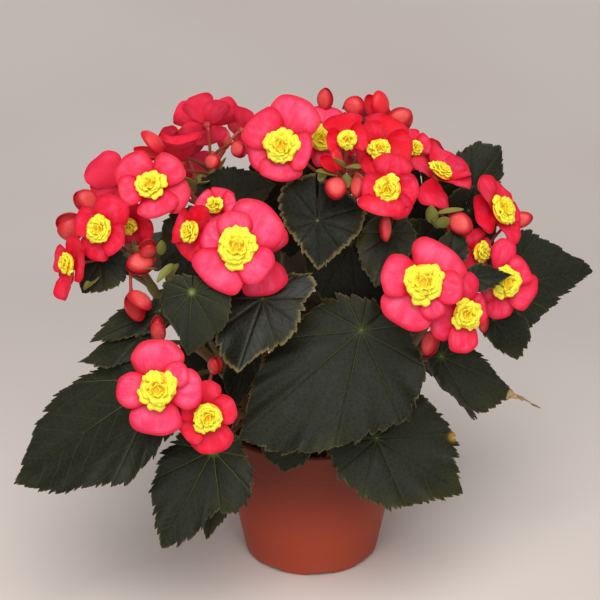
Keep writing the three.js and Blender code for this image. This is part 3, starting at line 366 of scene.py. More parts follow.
class BegoniaSizes(bpy.types.PropertyGroup):
    """Sizes of the pot, the leaves and the blooms."""

    pot_height: measure("Pot height", "From the ground to the lip", 0.1)
    pot_top_radius: measure("Pot top radius", "Outside, at the lip", 0.065)
    pot_foot_radius: measure("Pot foot radius", "Outside, at the ground", 0.0435)
    pot_wall: measure("Pot wall", "Thickness of the plastic wall", 0.0022)
    blade_thickness: measure("Leaf thickness", "Thickness of a leaf's blade", 0.0008)
    tooth_depth: measure("Tooth depth", "Depth of the teeth along a broad leaf's edge", 0.0028)
    tooth_spacing: measure("Tooth spacing", "Distance between those teeth", 0.0075)
    petal_thickness: measure("Petal thickness", "Thickness of a petal in its middle", 0.0012)
    hair_length: measure("Hair length", "Length of the fine hairs on stems and stalks", 0.0016)


def colour(name, description, *screen):
    """A colour property. Its default is a screen colour, 0 to 255, as the linear one that shaders take."""
    c = np.array(screen) / 255
    linear = np.where(c <= 0.04045, c / 12.92, ((c + 0.055) / 1.055) ** 2.4)
    return FloatVectorProperty(name=name, description=description, subtype="COLOR",
                               default=[float(x) for x in linear], min=0, max=1)


class BegoniaColours(bpy.types.PropertyGroup):
    """Colours of every finish."""

    pot: colour("Pot", "Terracotta plastic", 156, 60, 39)
    pot_worn: colour("Worn pot", "Paler, dusty plastic", 166, 78, 56)
    # Painted shade: the pot is darkened towards its lip for the leaves' shadow; this is not a colour of the
    # plastic.
    pot_painted_shade: colour("Shaded pot", "Browner plastic under the lip", 78, 28, 16)
    soil: colour("Soil", "Moist potting soil", 46, 32, 24)
    soil_dry: colour("Dry soil", "Drier crumbs", 96, 74, 54)
    leaf: colour("Leaf", "Upper face of a leaf", 22, 24, 14)
    leaf_light: colour("Lighter leaf", "Paler patches of the upper face", 30, 32, 20)
    # Painted shade: near black laid on the leaves inside the crown by their dark value.
    leaf_painted_shade: colour("Dark leaf", "Leaves inside the crown", 11, 10, 5)
    leaf_olive: colour("Olive leaf", "Browner patches towards the edge", 62, 60, 26)
    leaf_vein: colour("Veins", "Veins on the upper face", 92, 104, 48)
    leaf_hub: colour("Hub", "Where a leaf's veins meet", 132, 152, 76)
    leaf_margin: colour("Margin", "Tan teeth along the edge", 116, 102, 62)
    leaf_underside: colour("Underside", "Lower face of a leaf", 74, 56, 36)
    petal_open: colour("Open petal", "Middle of a wide open petal", 247, 62, 106)
    # Painted highlight, laid in seeded blotches on open petals.
    petal_painted_highlight: colour("Light petal", "Palest part of an open petal", 252, 110, 152)
    petal_deep: colour("Deep petal", "Foot and rim of an open petal", 216, 8, 40)
    # Painted light: the backs of petals are lightened to lift the shade they sit in.
    petal_back_painted_light: colour("Petal back", "Lighter back of a petal", 252, 62, 92)
    petal_young: colour("Young petal", "Middle of a just opened petal", 230, 9, 38)
    petal_dark: colour("Dark petal", "Foot and rim of a just opened petal", 186, 4, 22)
    centre: colour("Centre", "Tips of the centre's small petals", 255, 238, 66)
    # Painted shade in orange where the small petals' feet crowd together; it is also laid as fine flecks.
    centre_shade_and_flecks: colour("Deep centre", "Feet of the centre's small petals", 254, 170, 14)
    centre_inner: colour("Inner centre", "The innermost small petals", 250, 220, 44)
    stem: colour("Stem", "Green side of stems and stalks", 96, 98, 46)
    stem_red: colour("Red stem", "Red-brown side of stems and stalks", 122, 62, 40)
    bud: colour("Bud", "Belly of a bud", 238, 84, 82)
    bud_deep: colour("Deep bud", "Seams and foot of a bud", 192, 14, 30)
    bract: colour("Bract", "Small green bracts under the blooms", 126, 132, 54)
    withered: colour("Withered", "Dried leaf tip", 164, 128, 84)
    yellowed: colour("Yellowed", "The yellowed patch at one leaf's edge", 158, 116, 32)
    floor: colour("Floor", "Pale floor", 186, 177, 173)
    floor_painted_light: colour("Near floor", "Brighter floor round the pot", 223, 212, 205)
    # Painted light: the floor is brightened round the pot to lift the plant's shadow.
    floor_far: colour("Far floor", "Greyer patches of the floor", 178, 168, 162)


def sizes():
    """The sizes in millimetres, by name."""
    group = bpy.context.scene.begonia_sizes
    return {name: getattr(group, name) / MM for name in BegoniaSizes.__annotations__}


def paint(name):
    """A colour property as a shader colour."""
    return (*getattr(bpy.context.scene.begonia_colours, name), 1.0)


# ---- Curves ----

def smooth(low, high, x):
    """0 below low, 1 above high, and an S curve between them."""
    t = np.clip((x - low) / (high - low), 0, 1)
    return t * t * (3 - 2 * t)


def distances(path):
    """How far along the path each of its points is."""
    return np.concatenate([[0], np.cumsum(np.linalg.norm(np.diff(path, axis=0), axis=1))])


def evenly(path, steps):
    """The path at evenly spaced distances along it."""
    far = distances(path)
    want = np.linspace(0, far[-1], steps + 1)
    return np.stack([np.interp(want, far, path[:, k]) for k in range(3)], axis=1)


def through(points, steps):
    """A smooth curve through the points: between two of them, the cubic whose slopes come from their
    neighbours, weighed by the square roots of the distances. The result has evenly spaced points."""
    p = np.asarray(points, float)
    p = np.vstack([2 * p[0] - p[1], p, 2 * p[-1] - p[-2]])
    gap = np.maximum(np.linalg.norm(np.diff(p, axis=0), axis=1), 1e-6) ** 0.5
    t = np.linspace(0, 1, 60)[:, None]
    runs = []
    for i in range(1, len(p) - 2):
        a, b, c, d = p[i - 1:i + 3]
        g, h, k = gap[i - 1:i + 2]
        start = ((b - a) / g - (c - a) / (g + h) + (c - b) / h) * h
        end = ((c - b) / h - (d - b) / (h + k) + (d - c) / k) * h
        bent = (3 * (c - b) - 2 * start - end) * t**2 + (2 * (b - c) + start + end) * t**3
        runs.append(b + start * t + bent)
    return evenly(np.vstack(runs), steps)


def arch(top, under, bend, foot, steps):
    """The cubic curve that leaves top towards under and reaches foot from bend."""
    t = np.linspace(0, 1, steps + 1)[:, None]
    return top * (1 - t)**3 + under * 3 * t * (1 - t)**2 + bend * 3 * t**2 * (1 - t) + foot * t**3


HOLE_BOTTOM = 66.3
STEM_STEPS = 200
CURVES = {name: through([[*foot, HOLE_BOTTOM], *rest], STEM_STEPS) for name, (foot, *rest) in STEMS.items()}


# ---- Forms ----

class Form:
    """Points in millimetres, arrays of faces, a pattern coordinate for each point, and named values."""

    def __init__(self, points, faces, pattern, **values):
        self.points, self.faces, self.pattern, self.values = points, faces, pattern, values


def gather(forms):
    """Several forms as one."""
    starts = np.cumsum([0] + [len(f.points) for f in forms])
    values = {
        name: np.concatenate([np.broadcast_to(f.values.get(name, 0.0), len(f.points)) for f in forms])
        for name in set().union(*[f.values for f in forms])
    }
    faces = [face + start for f, start in zip(forms, starts) for face in f.faces]
    return Form(np.concatenate([f.points for f in forms]), faces,
                np.concatenate([f.pattern for f in forms]), **values)


def flat(*parts):
    """Grids of coordinates as one list of points."""
    return np.stack(np.broadcast_arrays(*parts), -1).reshape(-1, len(parts))


def closed(top, bottom, faces, loop, pattern, **values):
    """A closed sheet with these upper and lower points, joined by a wall round the loop."""
    n = len(top)
    after = np.roll(loop, -1)
    wall = np.stack([loop, loop + n, after + n, after], -1)
    lower = [face[:, ::-1] + n for face in faces]
    doubled = {name: np.tile(np.broadcast_to(v, n), 2) for name, v in values.items()}
    return Form(np.concatenate([top, bottom]), [*faces, *lower, wall], np.tile(pattern, (2, 1)),
                under=np.repeat([0.0, 1.0], n), **doubled)


def quads_of(i):
    """Four-sided faces of a grid of point numbers."""
    return np.stack([i[:-1, :-1], i[1:, :-1], i[1:, 1:], i[:-1, 1:]], -1).reshape(-1, 4)


def grid_faces(rows, cols):
    """Faces of a grid of points, and its border, anticlockwise from above."""
    i = np.arange(rows * cols).reshape(rows, cols)
    return quads_of(i), np.concatenate([i[:-1, 0], i[-1, :-1], i[:0:-1, -1], i[0, :0:-1]])


def tube_faces(rings, sides):
    """Faces of a closed tube: rings of points, and then one point for each end."""
    n = rings * sides
    i = np.arange(n).reshape(rings, sides)
    j = np.roll(i, -1, axis=1)
    quads = np.stack([i[:-1], j[:-1], j[1:], i[1:]], -1).reshape(-1, 4)
    first = np.stack([np.full(sides, n), j[0], i[0]], -1)
    last = np.stack([np.full(sides, n + 1), i[-1], j[-1]], -1)
    return [quads, first, last]


def copies(faces, each, count):
    """The faces of one small shape of so many points, repeated for its copies."""
    return (faces[None] + each * np.arange(count)[:, None, None]).reshape(-1, faces.shape[1])


def thin_sheets(points, half, a, b, **values):
    """Closed thin sheets, one for each grid of middle points. At each point the sheet faces square to
    the grid's two directions, and its faces stand half its thickness either side. a and b are the
    pattern."""
    count, rows, cols, _ = points.shape
    grid = points.shape[:3]
    shift = unit(np.cross(np.gradient(points, axis=1), np.gradient(points, axis=2)))
    shift = shift * np.broadcast_to(half, grid)[..., None]
    quads, border = grid_faces(rows, cols)
    total = count * rows * cols
    loops = border[None] + rows * cols * np.arange(count)[:, None]
    after = np.roll(loops, -1, axis=1)
    upper = copies(quads, rows * cols, count)
    wall = flat(loops, loops + total, after + total, after)
    doubled = {name: np.tile(np.broadcast_to(v, grid).ravel(), 2) for name, v in values.items()}
    pattern = flat(np.broadcast_to(a, grid), b)
    return Form(np.concatenate([(points + shift).reshape(-1, 3), (points - shift).reshape(-1, 3)]),
                [upper, upper[:, ::-1] + total, wall], np.tile(pattern, (2, 1)),
                under=np.repeat([0.0, 1.0], total), **doubled)


def disc(n):
    """A square grid pressed into a round disc: x = u sqrt(1 - v^2/2) and y = v sqrt(1 - u^2/2)."""
    side = np.sin(np.linspace(-1, 1, n) * np.pi / 2)
    u, v = np.meshgrid(side, side, indexing="ij")
    return u * np.sqrt(1 - v**2 / 2), v * np.sqrt(1 - u**2 / 2)


def rod(path, radii, sides, **values):
    """A closed rod: rings of points square to the path, with a point at each end. The pattern is the
    share of the way round, and the distance along in centimetres."""
    path = np.asarray(path, float)
    radii = np.broadcast_to(radii, len(path))
    along = unit(np.gradient(path, axis=0))
    helper = np.eye(3)[np.argmin(np.abs(unit(path[-1] - path[0])))]
    side = unit(helper - along * (along @ helper)[:, None])
    other = np.cross(along, side)
    turn = 2 * np.pi * np.arange(sides) / sides
    ring = side[:, None] * np.cos(turn)[None, :, None] + other[:, None] * np.sin(turn)[None, :, None]
    points = path[:, None] + ring * radii[:, None, None]
    ends = np.stack([path[0] - along[0] * radii[0] * 0.4, path[-1] + along[-1] * radii[-1] * 0.4])
    far = distances(path) / 10
    pattern = flat(turn[None] / (2 * np.pi), far[:, None])
    return Form(np.concatenate([points.reshape(-1, 3), ends]), tube_faces(len(path), sides),
                np.concatenate([pattern, [[0, 0], [0, far[-1]]]]), **values)


def make_piece(name, form, material, slot, *nodes):
    """Puts a form into a mesh in metres, riding on the root body, in the place of the named solids."""
    mesh = bpy.data.meshes.new(name)
    corners = np.concatenate([face.ravel() for face in form.faces]).astype(np.int32)
    counts = np.concatenate([np.full(len(face), face.shape[1]) for face in form.faces])
    starts = np.concatenate([[0], np.cumsum(counts)[:-1]]).astype(np.int32)
    mesh.vertices.add(len(form.points))
    mesh.vertices.foreach_set("co", (form.points * MM).astype(np.float32).ravel())
    mesh.loops.add(len(corners))
    mesh.loops.foreach_set("vertex_index", corners)
    mesh.polygons.add(len(counts))
    mesh.polygons.foreach_set("loop_start", starts)
    mesh.polygons.foreach_set("use_smooth", np.ones(len(counts), bool))
    mesh.update(calc_edges=True)
    layer = mesh.uv_layers.new(name="pattern")
    layer.data.foreach_set("uv", form.pattern[corners].astype(np.float32).ravel())
    for key, value in form.values.items():
        spread = np.broadcast_to(value, len(form.points)).astype(np.float32)
        mesh.attributes.new(key, "FLOAT", "POINT").data.foreach_set("value", spread)
    if mesh.validate():
        raise RuntimeError(name + " has faces that Blender had to mend")
    mesh.materials.append(material)
    piece = bpy.data.objects.new(name, mesh)
    bpy.context.scene.collection.objects.link(piece)
    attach(piece, "root")
    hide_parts(*nodes)


# ---- Finishes ----

class Value:
    """What a node gives. Arithmetic on it adds Math nodes."""

    def __init__(self, finish, socket):
        self.finish, self.socket = finish, socket

    def __add__(self, other):
        return self.finish.math("ADD", self, other)

    def __sub__(self, other):
        return self.finish.math("SUBTRACT", self, other)

    def __mul__(self, other):
        return self.finish.math("MULTIPLY", self, other)

    def __truediv__(self, other):
        return self.finish.math("DIVIDE", self, other)

    def __pow__(self, other):
        return self.finish.math("POWER", self, other)


class Finish:
    """A material, the colour that its layers build up, and short ways to add the nodes of its pattern."""

    def __init__(self, name, base, **sockets):
        self.material = bpy.data.materials.new(name)
        self.material.use_nodes = True
        self.tree = self.material.node_tree
        self.base = paint(base)
        self.set(**sockets)

    def feed(self, socket, value):
        """Joins a value to a socket, or sets the socket to a number or colour."""
        if isinstance(value, Value):
            self.tree.links.new(value.socket, socket)
        else:
            socket.default_value = value

    def set(self, **sockets):
        """Feeds the shader's sockets, with _ for the spaces in their names."""
        shader = self.tree.nodes["Principled BSDF"]
        for name, value in sockets.items():
            self.feed(shader.inputs[name.replace("_", " ")], value)

    def node(self, kind, inputs, output=0, **settings):
        """One output of a new node."""
        made = self.tree.nodes.new(kind)
        for name, value in settings.items():
            setattr(made, name, value)
        for socket, value in inputs.items():
            self.feed(made.inputs[socket], value)
        return Value(self, made.outputs[output])

    def math(self, operation, a, b, clamp=False):
        """A sum or the like of two values."""
        return self.node("ShaderNodeMath", {0: a, 1: b}, operation=operation, use_clamp=clamp)

    def mix(self, share, a, b):
        """The colour a, with b where the share is 1."""
        return self.node("ShaderNodeMix", {0: share, 6: a, 7: b}, 2, data_type="RGBA")

    def lay(self, name, share):
        """Lays a named colour over the base by a share."""
        self.base = self.mix(share, self.base, paint(name))

    def ramp(self, value, low, high, to_low=0, to_high=1):
        """A value from low to high as an S curve from to_low to to_high."""
        inputs = {"Value": value, "From Min": low, "From Max": high, "To Min": to_low, "To Max": to_high}
        return self.node("ShaderNodeMapRange", inputs, interpolation_type="SMOOTHSTEP")

    def value(self, name):
        """A named value of the form."""
        return self.node("ShaderNodeAttribute", {}, "Fac", attribute_name=name)

    def split(self, vector):
        """The three coordinates of a vector."""
        made = self.node("ShaderNodeSeparateXYZ", {0: vector}).socket.node
        return [Value(self, socket) for socket in made.outputs]

    def pattern(self):
        """The form's two pattern coordinates."""
        return self.split(self.node("ShaderNodeUVMap", {}, uv_map="pattern"))[:2]

    def place(self):
        """The place in the object, in metres."""
        return self.node("ShaderNodeTexCoord", {}, "Object")

    def at(self, x, y, z=0):
        """A vector of three values."""
        return self.node("ShaderNodeCombineXYZ", {0: x, 1: y, 2: z})

    def noise(self, vector, scale, detail=3, roughness=0.55):
        """Cloudy noise from 0 to 1."""
        inputs = {"Vector": vector, "Scale": scale, "Detail": detail, "Roughness": roughness}
        return self.node("ShaderNodeTexNoise", inputs)

    def cells(self, vector, scale, feature="DISTANCE_TO_EDGE"):
        """Distances in a pattern of cells."""
        inputs = {"Vector": vector, "Scale": scale}
        return self.node("ShaderNodeTexVoronoi", inputs, "Distance", feature=feature)

    def done(self, roughness, relief, depth, strength):
        """The material, with its colour, roughness and relief joined to the shader."""
        bump = {"Height": relief, "Distance": depth, "Strength": strength}
        self.set(Base_Color=self.base, Roughness=roughness, Normal=self.node("ShaderNodeBump", bump))
        return self.material


@cache
def leaf_finish(glossy):
    """Dark satin leaf. The pattern's first coordinate counts the main veins round the hub and the second
    is the distance from the hub as a share of the leaf's length. Thin main veins fade outwards, side
    veins leave them slanting, and the margin is brown where tan is high. Painted shade takes the blade
    towards black where dark is high."""
    f = Finish("begonia_leaf_glossy" if glossy else "begonia_leaf", "leaf",
               Specular_IOR_Level=0.22 if glossy else 0.17)
    around, far = f.pattern()
    place, veins, edge, tan = f.place(), f.value("veins"), f.value("edge"), f.value("tan")
    wander = (f.noise(place, 60, 2) - 0.5) * 0.12
    aside = f.math("PINGPONG", around + wander, 0.5) * far
    main = f.ramp(aside / f.ramp(far, 0, 0.8, 0.013, 0.003), 0.35, 1, 1, 0)
    slant = (far - aside * 0.85) * 8
    side = f.ramp(f.math("PINGPONG", slant, 0.5), 0.01, 0.045, 1, 0)
    net = f.ramp(f.cells(place, 330), 0.02, 0.16, 1, 0)
    patch = f.noise(place, 34, 4)
    ragged = edge + (f.noise(place, 160) - 0.5) * 3.4
    f.lay("leaf_light", f.ramp(patch, 0.35, 0.7))
    f.lay("leaf_light", f.ramp(f.noise(place, 260, 4, 0.65), 0.4, 0.75, 0, 0.3))
    # Painted shade: the blade goes towards black where dark is high.
    f.lay("leaf_painted_shade", f.value("dark") * 0.9)
    f.lay("leaf_olive", f.ramp(f.noise(place, 22, 2), 0.45, 0.7) * f.ramp(edge, 0, 16, 0.4, 0.05))
    f.lay("leaf_vein", net * 0.05)
    f.lay("leaf_vein", side * f.ramp(veins, 0, 1, 0.03, 0.16))
    f.lay("leaf_vein", main * (f.ramp(far, 0, 0.85, 0.9, 0.25) * f.ramp(veins, 0, 1, 0.15, 0.95)))
    f.lay("leaf_hub", f.ramp(far, 0, 0.09, 0.7, 0) * f.ramp(veins, 0.3, 1, 0.1, 1))
    f.lay("leaf_margin", f.ramp(ragged, -0.2, f.ramp(tan, 0.4, 1, 1.4, 3.2), f.ramp(tan, 0, 1, 0.3, 0.9), 0))
    f.lay("yellowed", f.value("yellow"))
    f.lay("leaf_underside", f.value("under") * 0.85)
    relief = main * -1 + side * -0.35 + net * -0.1 + f.noise(place, 420) * 0.3
    smoothest, roughest = (0.32, 0.5) if glossy else (0.44, 0.6)
    return f.done(f.ramp(patch, 0.3, 0.7, smoothest, roughest), relief, 0.0003, 0.8)


@cache
def petal_finish():
    """Silky petal: paler in its middle with painted highlight in seeded blotches, deeper at its foot and rim,
    lightened on its back by painted light, with fine veins that run out along it. The pattern is the distance
    out from its foot and the distance to the side."""
    f = Finish("begonia_petal", "petal_open", Subsurface_Weight=0.3, Subsurface_Scale=0.003,
               Specular_IOR_Level=0.16)
    out, aside = f.pattern()
    seed = f.value("seed")
    veins = f.noise(f.at(out * 1.3, aside * 17, seed), 2.2)
    cloud = f.noise(f.place(), 70)
    blotch = f.noise(f.at(out, aside, seed), 2.4, 2)
    ragged = f.value("rim") + (blotch - 0.5) * 0.4
    # Painted highlight: paler pink in seeded blotches.
    f.lay("petal_painted_highlight", f.ramp(blotch, 0.35, 0.7, 0, 0.75))
    f.lay("petal_deep", f.ramp(out, 0.15, 0.62, 0.9, 0))
    f.lay("petal_deep", f.ramp(ragged, 0.7, 1, 0, 0.85))
    f.lay("petal_deep", f.ramp(veins, 0.45, 0.7, 0, 0.27))
    opened, f.base = f.base, paint("petal_young")
    f.lay("petal_dark", f.ramp(out, 0.1, 0.8, 0.7, 0))
    f.lay("petal_dark", f.ramp(ragged, 0.7, 1, 0, 0.7))
    f.lay("petal_dark", f.ramp(veins, 0.45, 0.72, 0, 0.25))
    f.lay("petal_open", f.ramp(blotch, 0.45, 0.7, 0, 0.3))
    mood = f.math("ADD", f.value("youth"), (cloud - 0.5) * 0.3, clamp=True)
    f.base = f.mix(mood, opened, f.base)
    # Painted light on the back of each petal.
    f.lay("petal_back_painted_light", f.value("under") * 0.45)
    relief = veins * 0.5 + f.noise(f.place(), 1400, 2) * 0.25
    return f.done(f.ramp(cloud, 0.3, 0.7, 0.42, 0.56), relief, 0.0003, 0.6)


@cache
def centre_finish():
    """Small yellow petals with painted shade in orange at their feet, fine orange flecks, and a deeper yellow
    in the middle of the bloom.
    """
    f = Finish("begonia_centre", "centre_shade_and_flecks", Subsurface_Weight=0.3, Subsurface_Scale=0.002,
               Specular_IOR_Level=0.3)
    grain = f.noise(f.place(), 500)
    # The orange base left at the lobes' feet is painted shade; the yellow covers it towards the tips.
    f.lay("centre", f.ramp(f.pattern()[0], 0.15, 0.75))
    f.lay("centre_shade_and_flecks", f.ramp(grain, 0.55, 0.8, 0, 0.2))
    f.lay("centre_inner", f.ramp(f.value("inner"), 0.25, 0.8, 0, 0.8))
    return f.done(f.ramp(grain, 0.3, 0.7, 0.45, 0.6), grain, 0.0003, 0.5)


@cache
def bud_finish():
    """Bud petals: pale and glossy on the belly, red at the seam and foot, with fine veins."""
    f = Finish("begonia_bud", "bud", Subsurface_Weight=0.25, Subsurface_Scale=0.003, Specular_IOR_Level=0.35)
    out, aside = f.pattern()
    veins = f.noise(f.at(out * 1.5, aside * 9, f.value("seed")), 2.4)
    f.lay("bud_deep", f.ramp(f.value("rim"), 0.5, 1))
    f.lay("bud_deep", f.ramp(veins, 0.45, 0.75, 0, 0.4))
    f.lay("petal_young", f.value("dark"))
    f.lay("stem_red", f.ramp(out, 0, 0.22, 0.5, 0))
    return f.done(f.ramp(veins, 0.3, 0.7, 0.34, 0.46), veins, 0.0003, 0.5)


@cache
def stem_finish():
    """Fleshy stem, green on some sides and red-brown on others, streaked along its length."""
    f = Finish("begonia_stem", "stem", Subsurface_Weight=0.06, Subsurface_Scale=0.002)
    around, along = f.pattern()
    place = f.place()
    streak = f.noise(f.at(around * 9, along * 0.5), 2, 4)
    red = f.ramp(f.noise(place, 45), 0.35, 0.65) + streak * 0.5
    f.lay("stem_red", f.math("MULTIPLY", red, 0.72, clamp=True))
    f.lay("bud_deep", f.ramp(f.value("reddish"), 0, 1, 0, 0.7))
    f.lay("bract", f.value("pale") * 0.6)
    relief = streak + f.noise(place, 700, 2) * 0.4
    return f.done(f.ramp(streak, 0.3, 0.7, 0.36, 0.5), relief, 0.0004, 0.7)


@cache
def bract_finish():
    """Small green bracts, reddish towards their rims."""
    f = Finish("begonia_bract", "bract")
    out, aside = f.pattern()
    veins = f.noise(f.at(out, aside * 8), 2.4)
    f.lay("stem_red", f.ramp(f.value("rim"), 0.6, 1, 0, 0.3))
    f.lay("stem", f.ramp(veins, 0.45, 0.7, 0, 0.5))
    return f.done(f.ramp(veins, 0.3, 0.7, 0.4, 0.55), veins, 0.0003, 0.6)


@cache
def withered_finish():
    """Dry papery leaf tip with dark creases."""
    f = Finish("begonia_withered", "leaf_margin")
    crease = f.noise(f.place(), 260, 4, 0.7)
    f.lay("withered", f.ramp(crease, 0.35, 0.65))
    return f.done(f.ramp(crease, 0.3, 0.7, 0.6, 0.8), crease, 0.0006, 1)


@cache
def pot_finish():
    """Moulded plastic: a fine matt grain, faint rings from the mould, scuffs, a dusty foot, and painted shade
    that darkens it towards the lip, under the leaves.
    """
    f = Finish("begonia_pot", "pot", Specular_IOR_Level=0.22)
    place = f.place()
    x, y, height = f.split(place)
    cloud = f.noise(place, 22, 4)
    scuff = f.ramp(f.noise(f.at(x, y, height * 6), 55, 5, 0.7), 0.6, 0.74)
    rings = f.noise(f.at(0, 0, height), 700, 2)
    dusty = f.ramp(height, 0, 0.016, 0.5, 0)
    f.lay("pot_worn", f.ramp(cloud, 0.3, 0.72, 0, 0.25))
    # Painted shade from the leaves above: darker from 20 mm up, fully so from 85 mm.
    f.lay("pot_painted_shade", f.ramp(height, 0.02, 0.085, 0, 0.75))
    f.lay("pot_worn", f.math("ADD", scuff * 0.35, dusty * cloud, clamp=True))
    relief = rings * 0.5 + f.noise(place, 2200, 2) * 0.4
    return f.done(f.ramp(cloud + scuff * 0.3, 0.3, 0.9, 0.42, 0.62), relief, 0.0002, 0.5)


@cache
def soil_finish():
    """Moist peaty soil with fibres and lighter crumbs."""
    f = Finish("begonia_soil", "soil")
    lumps = f.noise(f.place(), 180, 6, 0.7)
    f.lay("soil_dry", f.ramp(lumps, 0.45, 0.72, 0, 0.7))
    relief = lumps + f.cells(f.place(), 260, "F1") * -0.8
    return f.done(f.ramp(lumps, 0.3, 0.7, 0.82, 0.95), relief, 0.002, 1)


@cache
def floor_finish():
    """Pale matt floor, with painted light round the pot that lifts the plant's shadow, and cloudy farther
    off.
    """
    f = Finish("pale_floor", "floor", Specular_IOR_Level=0.2)
    cloud = f.noise(f.place(), 1.6, 2)
    tone = cloud + (f.noise(f.place(), 700) - 0.5) * 0.12
    x, y, _ = f.split(f.place())
    far = ((x + 0.03) ** 2 + (y + 0.05) ** 2) ** 0.5
    f.lay("floor_far", f.ramp(tone, 0.3, 0.7))
    # Painted light round the pot, fading out by half a metre, to lift the plant's shadow.
    f.lay("floor_painted_light", f.ramp(far, 0.05, 0.5, 1, 0))
    f.set(Base_Color=f.base, Roughness=f.ramp(cloud, 0.3, 0.7, 0.75, 0.9))
    return f.material


# ---- Pot and soil ----

POT_FLOOR = 6.0
BAND_BOTTOM = 78.0
BAND_STEP = 1.8
FOOT_RECESS = 2.6
FOOT_RING = 6.0
PAD_RADIUS = 14.0
CHANNELS = 8
CHANNEL_WIDTH = 16.0
CHANNEL_TURN = 8.0  # degrees round from the front
SOIL_TOP = 88.0
SOIL_MOUND = 2.5
SOIL_GAP = 0.45
CRUMBS = 700


def side_radius(size, z):
    """Outer radius of the pot's side at a height, straight from the foot to the top."""
    top = size["pot_top_radius"] - BAND_STEP
    return np.interp(z, [0, size["pot_height"]], [size["pot_foot_radius"], top])


def turned(profile, sides, lift):
    """A solid of revolution: each profile point, a radius and a height, is carried round the axis, and
    the first and last points are on it. lift changes the heights of the points by radius, height, turn."""
    rings = np.array(profile[1:-1], float)
    turn = 2 * np.pi * np.arange(sides) / sides
    r, z = rings[:, :1] + 0 * turn, rings[:, 1:] + 0 * turn
    points = flat(r * np.cos(turn), r * np.sin(turn), lift(r, z, turn[None]))
    poles = [[0, 0, profile[0][1]], [0, 0, profile[-1][1]]]
    return Form(np.concatenate([points, poles]), tube_faces(len(rings), sides),
                np.zeros((len(points) + 2, 2)))


def pot_form(size):
    """The pot: a tapered side with a band that stands out under the lip, a rounded lip, the inside down
    to the floor, and a foot ring cut by eight channels. In a channel the ring's low points are raised to
    the height of the recess."""
    high, foot, wall = size["pot_height"], size["pot_foot_radius"], size["pot_wall"]
    ring = foot - FOOT_RING

    def along_side(heights, out=0.0):
        return [[side_radius(size, z) + out, z] for z in heights]

    band, floor_edge = side_radius(size, BAND_BOTTOM), side_radius(size, POT_FLOOR) - wall
    lip = np.radians(np.linspace(0, 180, 9))
    lip_middle, lip_half = side_radius(size, high) + (BAND_STEP - wall) / 2, (BAND_STEP + wall) / 2
    profile = [
        [0, 0], [PAD_RADIUS - 1, 0], [PAD_RADIUS, 0.2], [PAD_RADIUS + 1.5, FOOT_RECESS],
        [ring - 2, FOOT_RECESS], [ring - 1, FOOT_RECESS - 0.3], [ring, 0.3], [ring + 0.5, 0],
        [foot - 2.6, 0], [foot - 1.4, 0.3], [foot - 0.5, 1.0],
        *along_side([2, 3.4, 3.9, *np.linspace(5, BAND_BOTTOM - 1.4, 14)]),
        [band + 0.05, BAND_BOTTOM - 0.4], [band + 0.6, BAND_BOTTOM],
        [band + BAND_STEP - 0.3, BAND_BOTTOM + 0.3], [band + BAND_STEP, BAND_BOTTOM + 1],
        *along_side(np.linspace(BAND_BOTTOM + 3, high - 3, 5), BAND_STEP),
        *[[lip_middle + lip_half * np.cos(t), high - 1.2 + 1.2 * np.sin(t)] for t in lip],
        *along_side(np.linspace(high - 3, POT_FLOOR + 2, 8), -wall),
        [floor_edge - 0.6, POT_FLOOR + 0.5], [floor_edge - 2, POT_FLOOR],
        [PAD_RADIUS, POT_FLOOR], [0, POT_FLOOR],
    ]

    def lift(r, z, turn):
        step = 2 * np.pi / CHANNELS
        from_middle = np.abs((turn - np.radians(CHANNEL_TURN - 90) + step / 2) % step - step / 2)
        within = 1 - smooth(CHANNEL_WIDTH / 2 - 0.7, CHANNEL_WIDTH / 2 + 0.5, from_middle * r)
        low = (z < FOOT_RECESS) & (r > ring - 1.2)
        return np.where(low, z + within * (FOOT_RECESS - z) * 0.97, z)

    return turned(profile, 288, lift)


def mound(share):
    """Height of the soil at a share of its radius: low in the middle and highest at three quarters."""
    return SOIL_TOP + SOIL_MOUND * np.interp(share, [0, 0.3, 0.72, 1], [0.6, 0.0, 1.0, -0.4])


def soil_form(size):
    """The soil: a round top whose height is the mound plus several waves and a fine seeded unevenness,
    over a side that follows the pot's inside down to its floor."""
    x, y = disc(97)
    rho = np.hypot(x, y)
    top_radius, low_radius = side_radius(size, [SOIL_TOP, POT_FLOOR]) - size["pot_wall"] - SOIL_GAP
    waves = sum(np.sin(k * x * 9 + p) * np.cos(k * y * 8 + q) / k
                for k, p, q in [(1, 0, 1), (2, 2, 0.4), (3.3, 1, 2)])
    rough = np.random.default_rng(5).normal(0, 0.35, x.shape) * (rho < 0.98)
    top = flat(x * top_radius, y * top_radius, mound(rho) + 0.4 * waves + rough)
    bottom = flat(x * low_radius, y * low_radius, POT_FLOOR + 0.3)
    quads, border = grid_faces(*x.shape)
    return closed(top, bottom, [quads], border, flat(x, y))


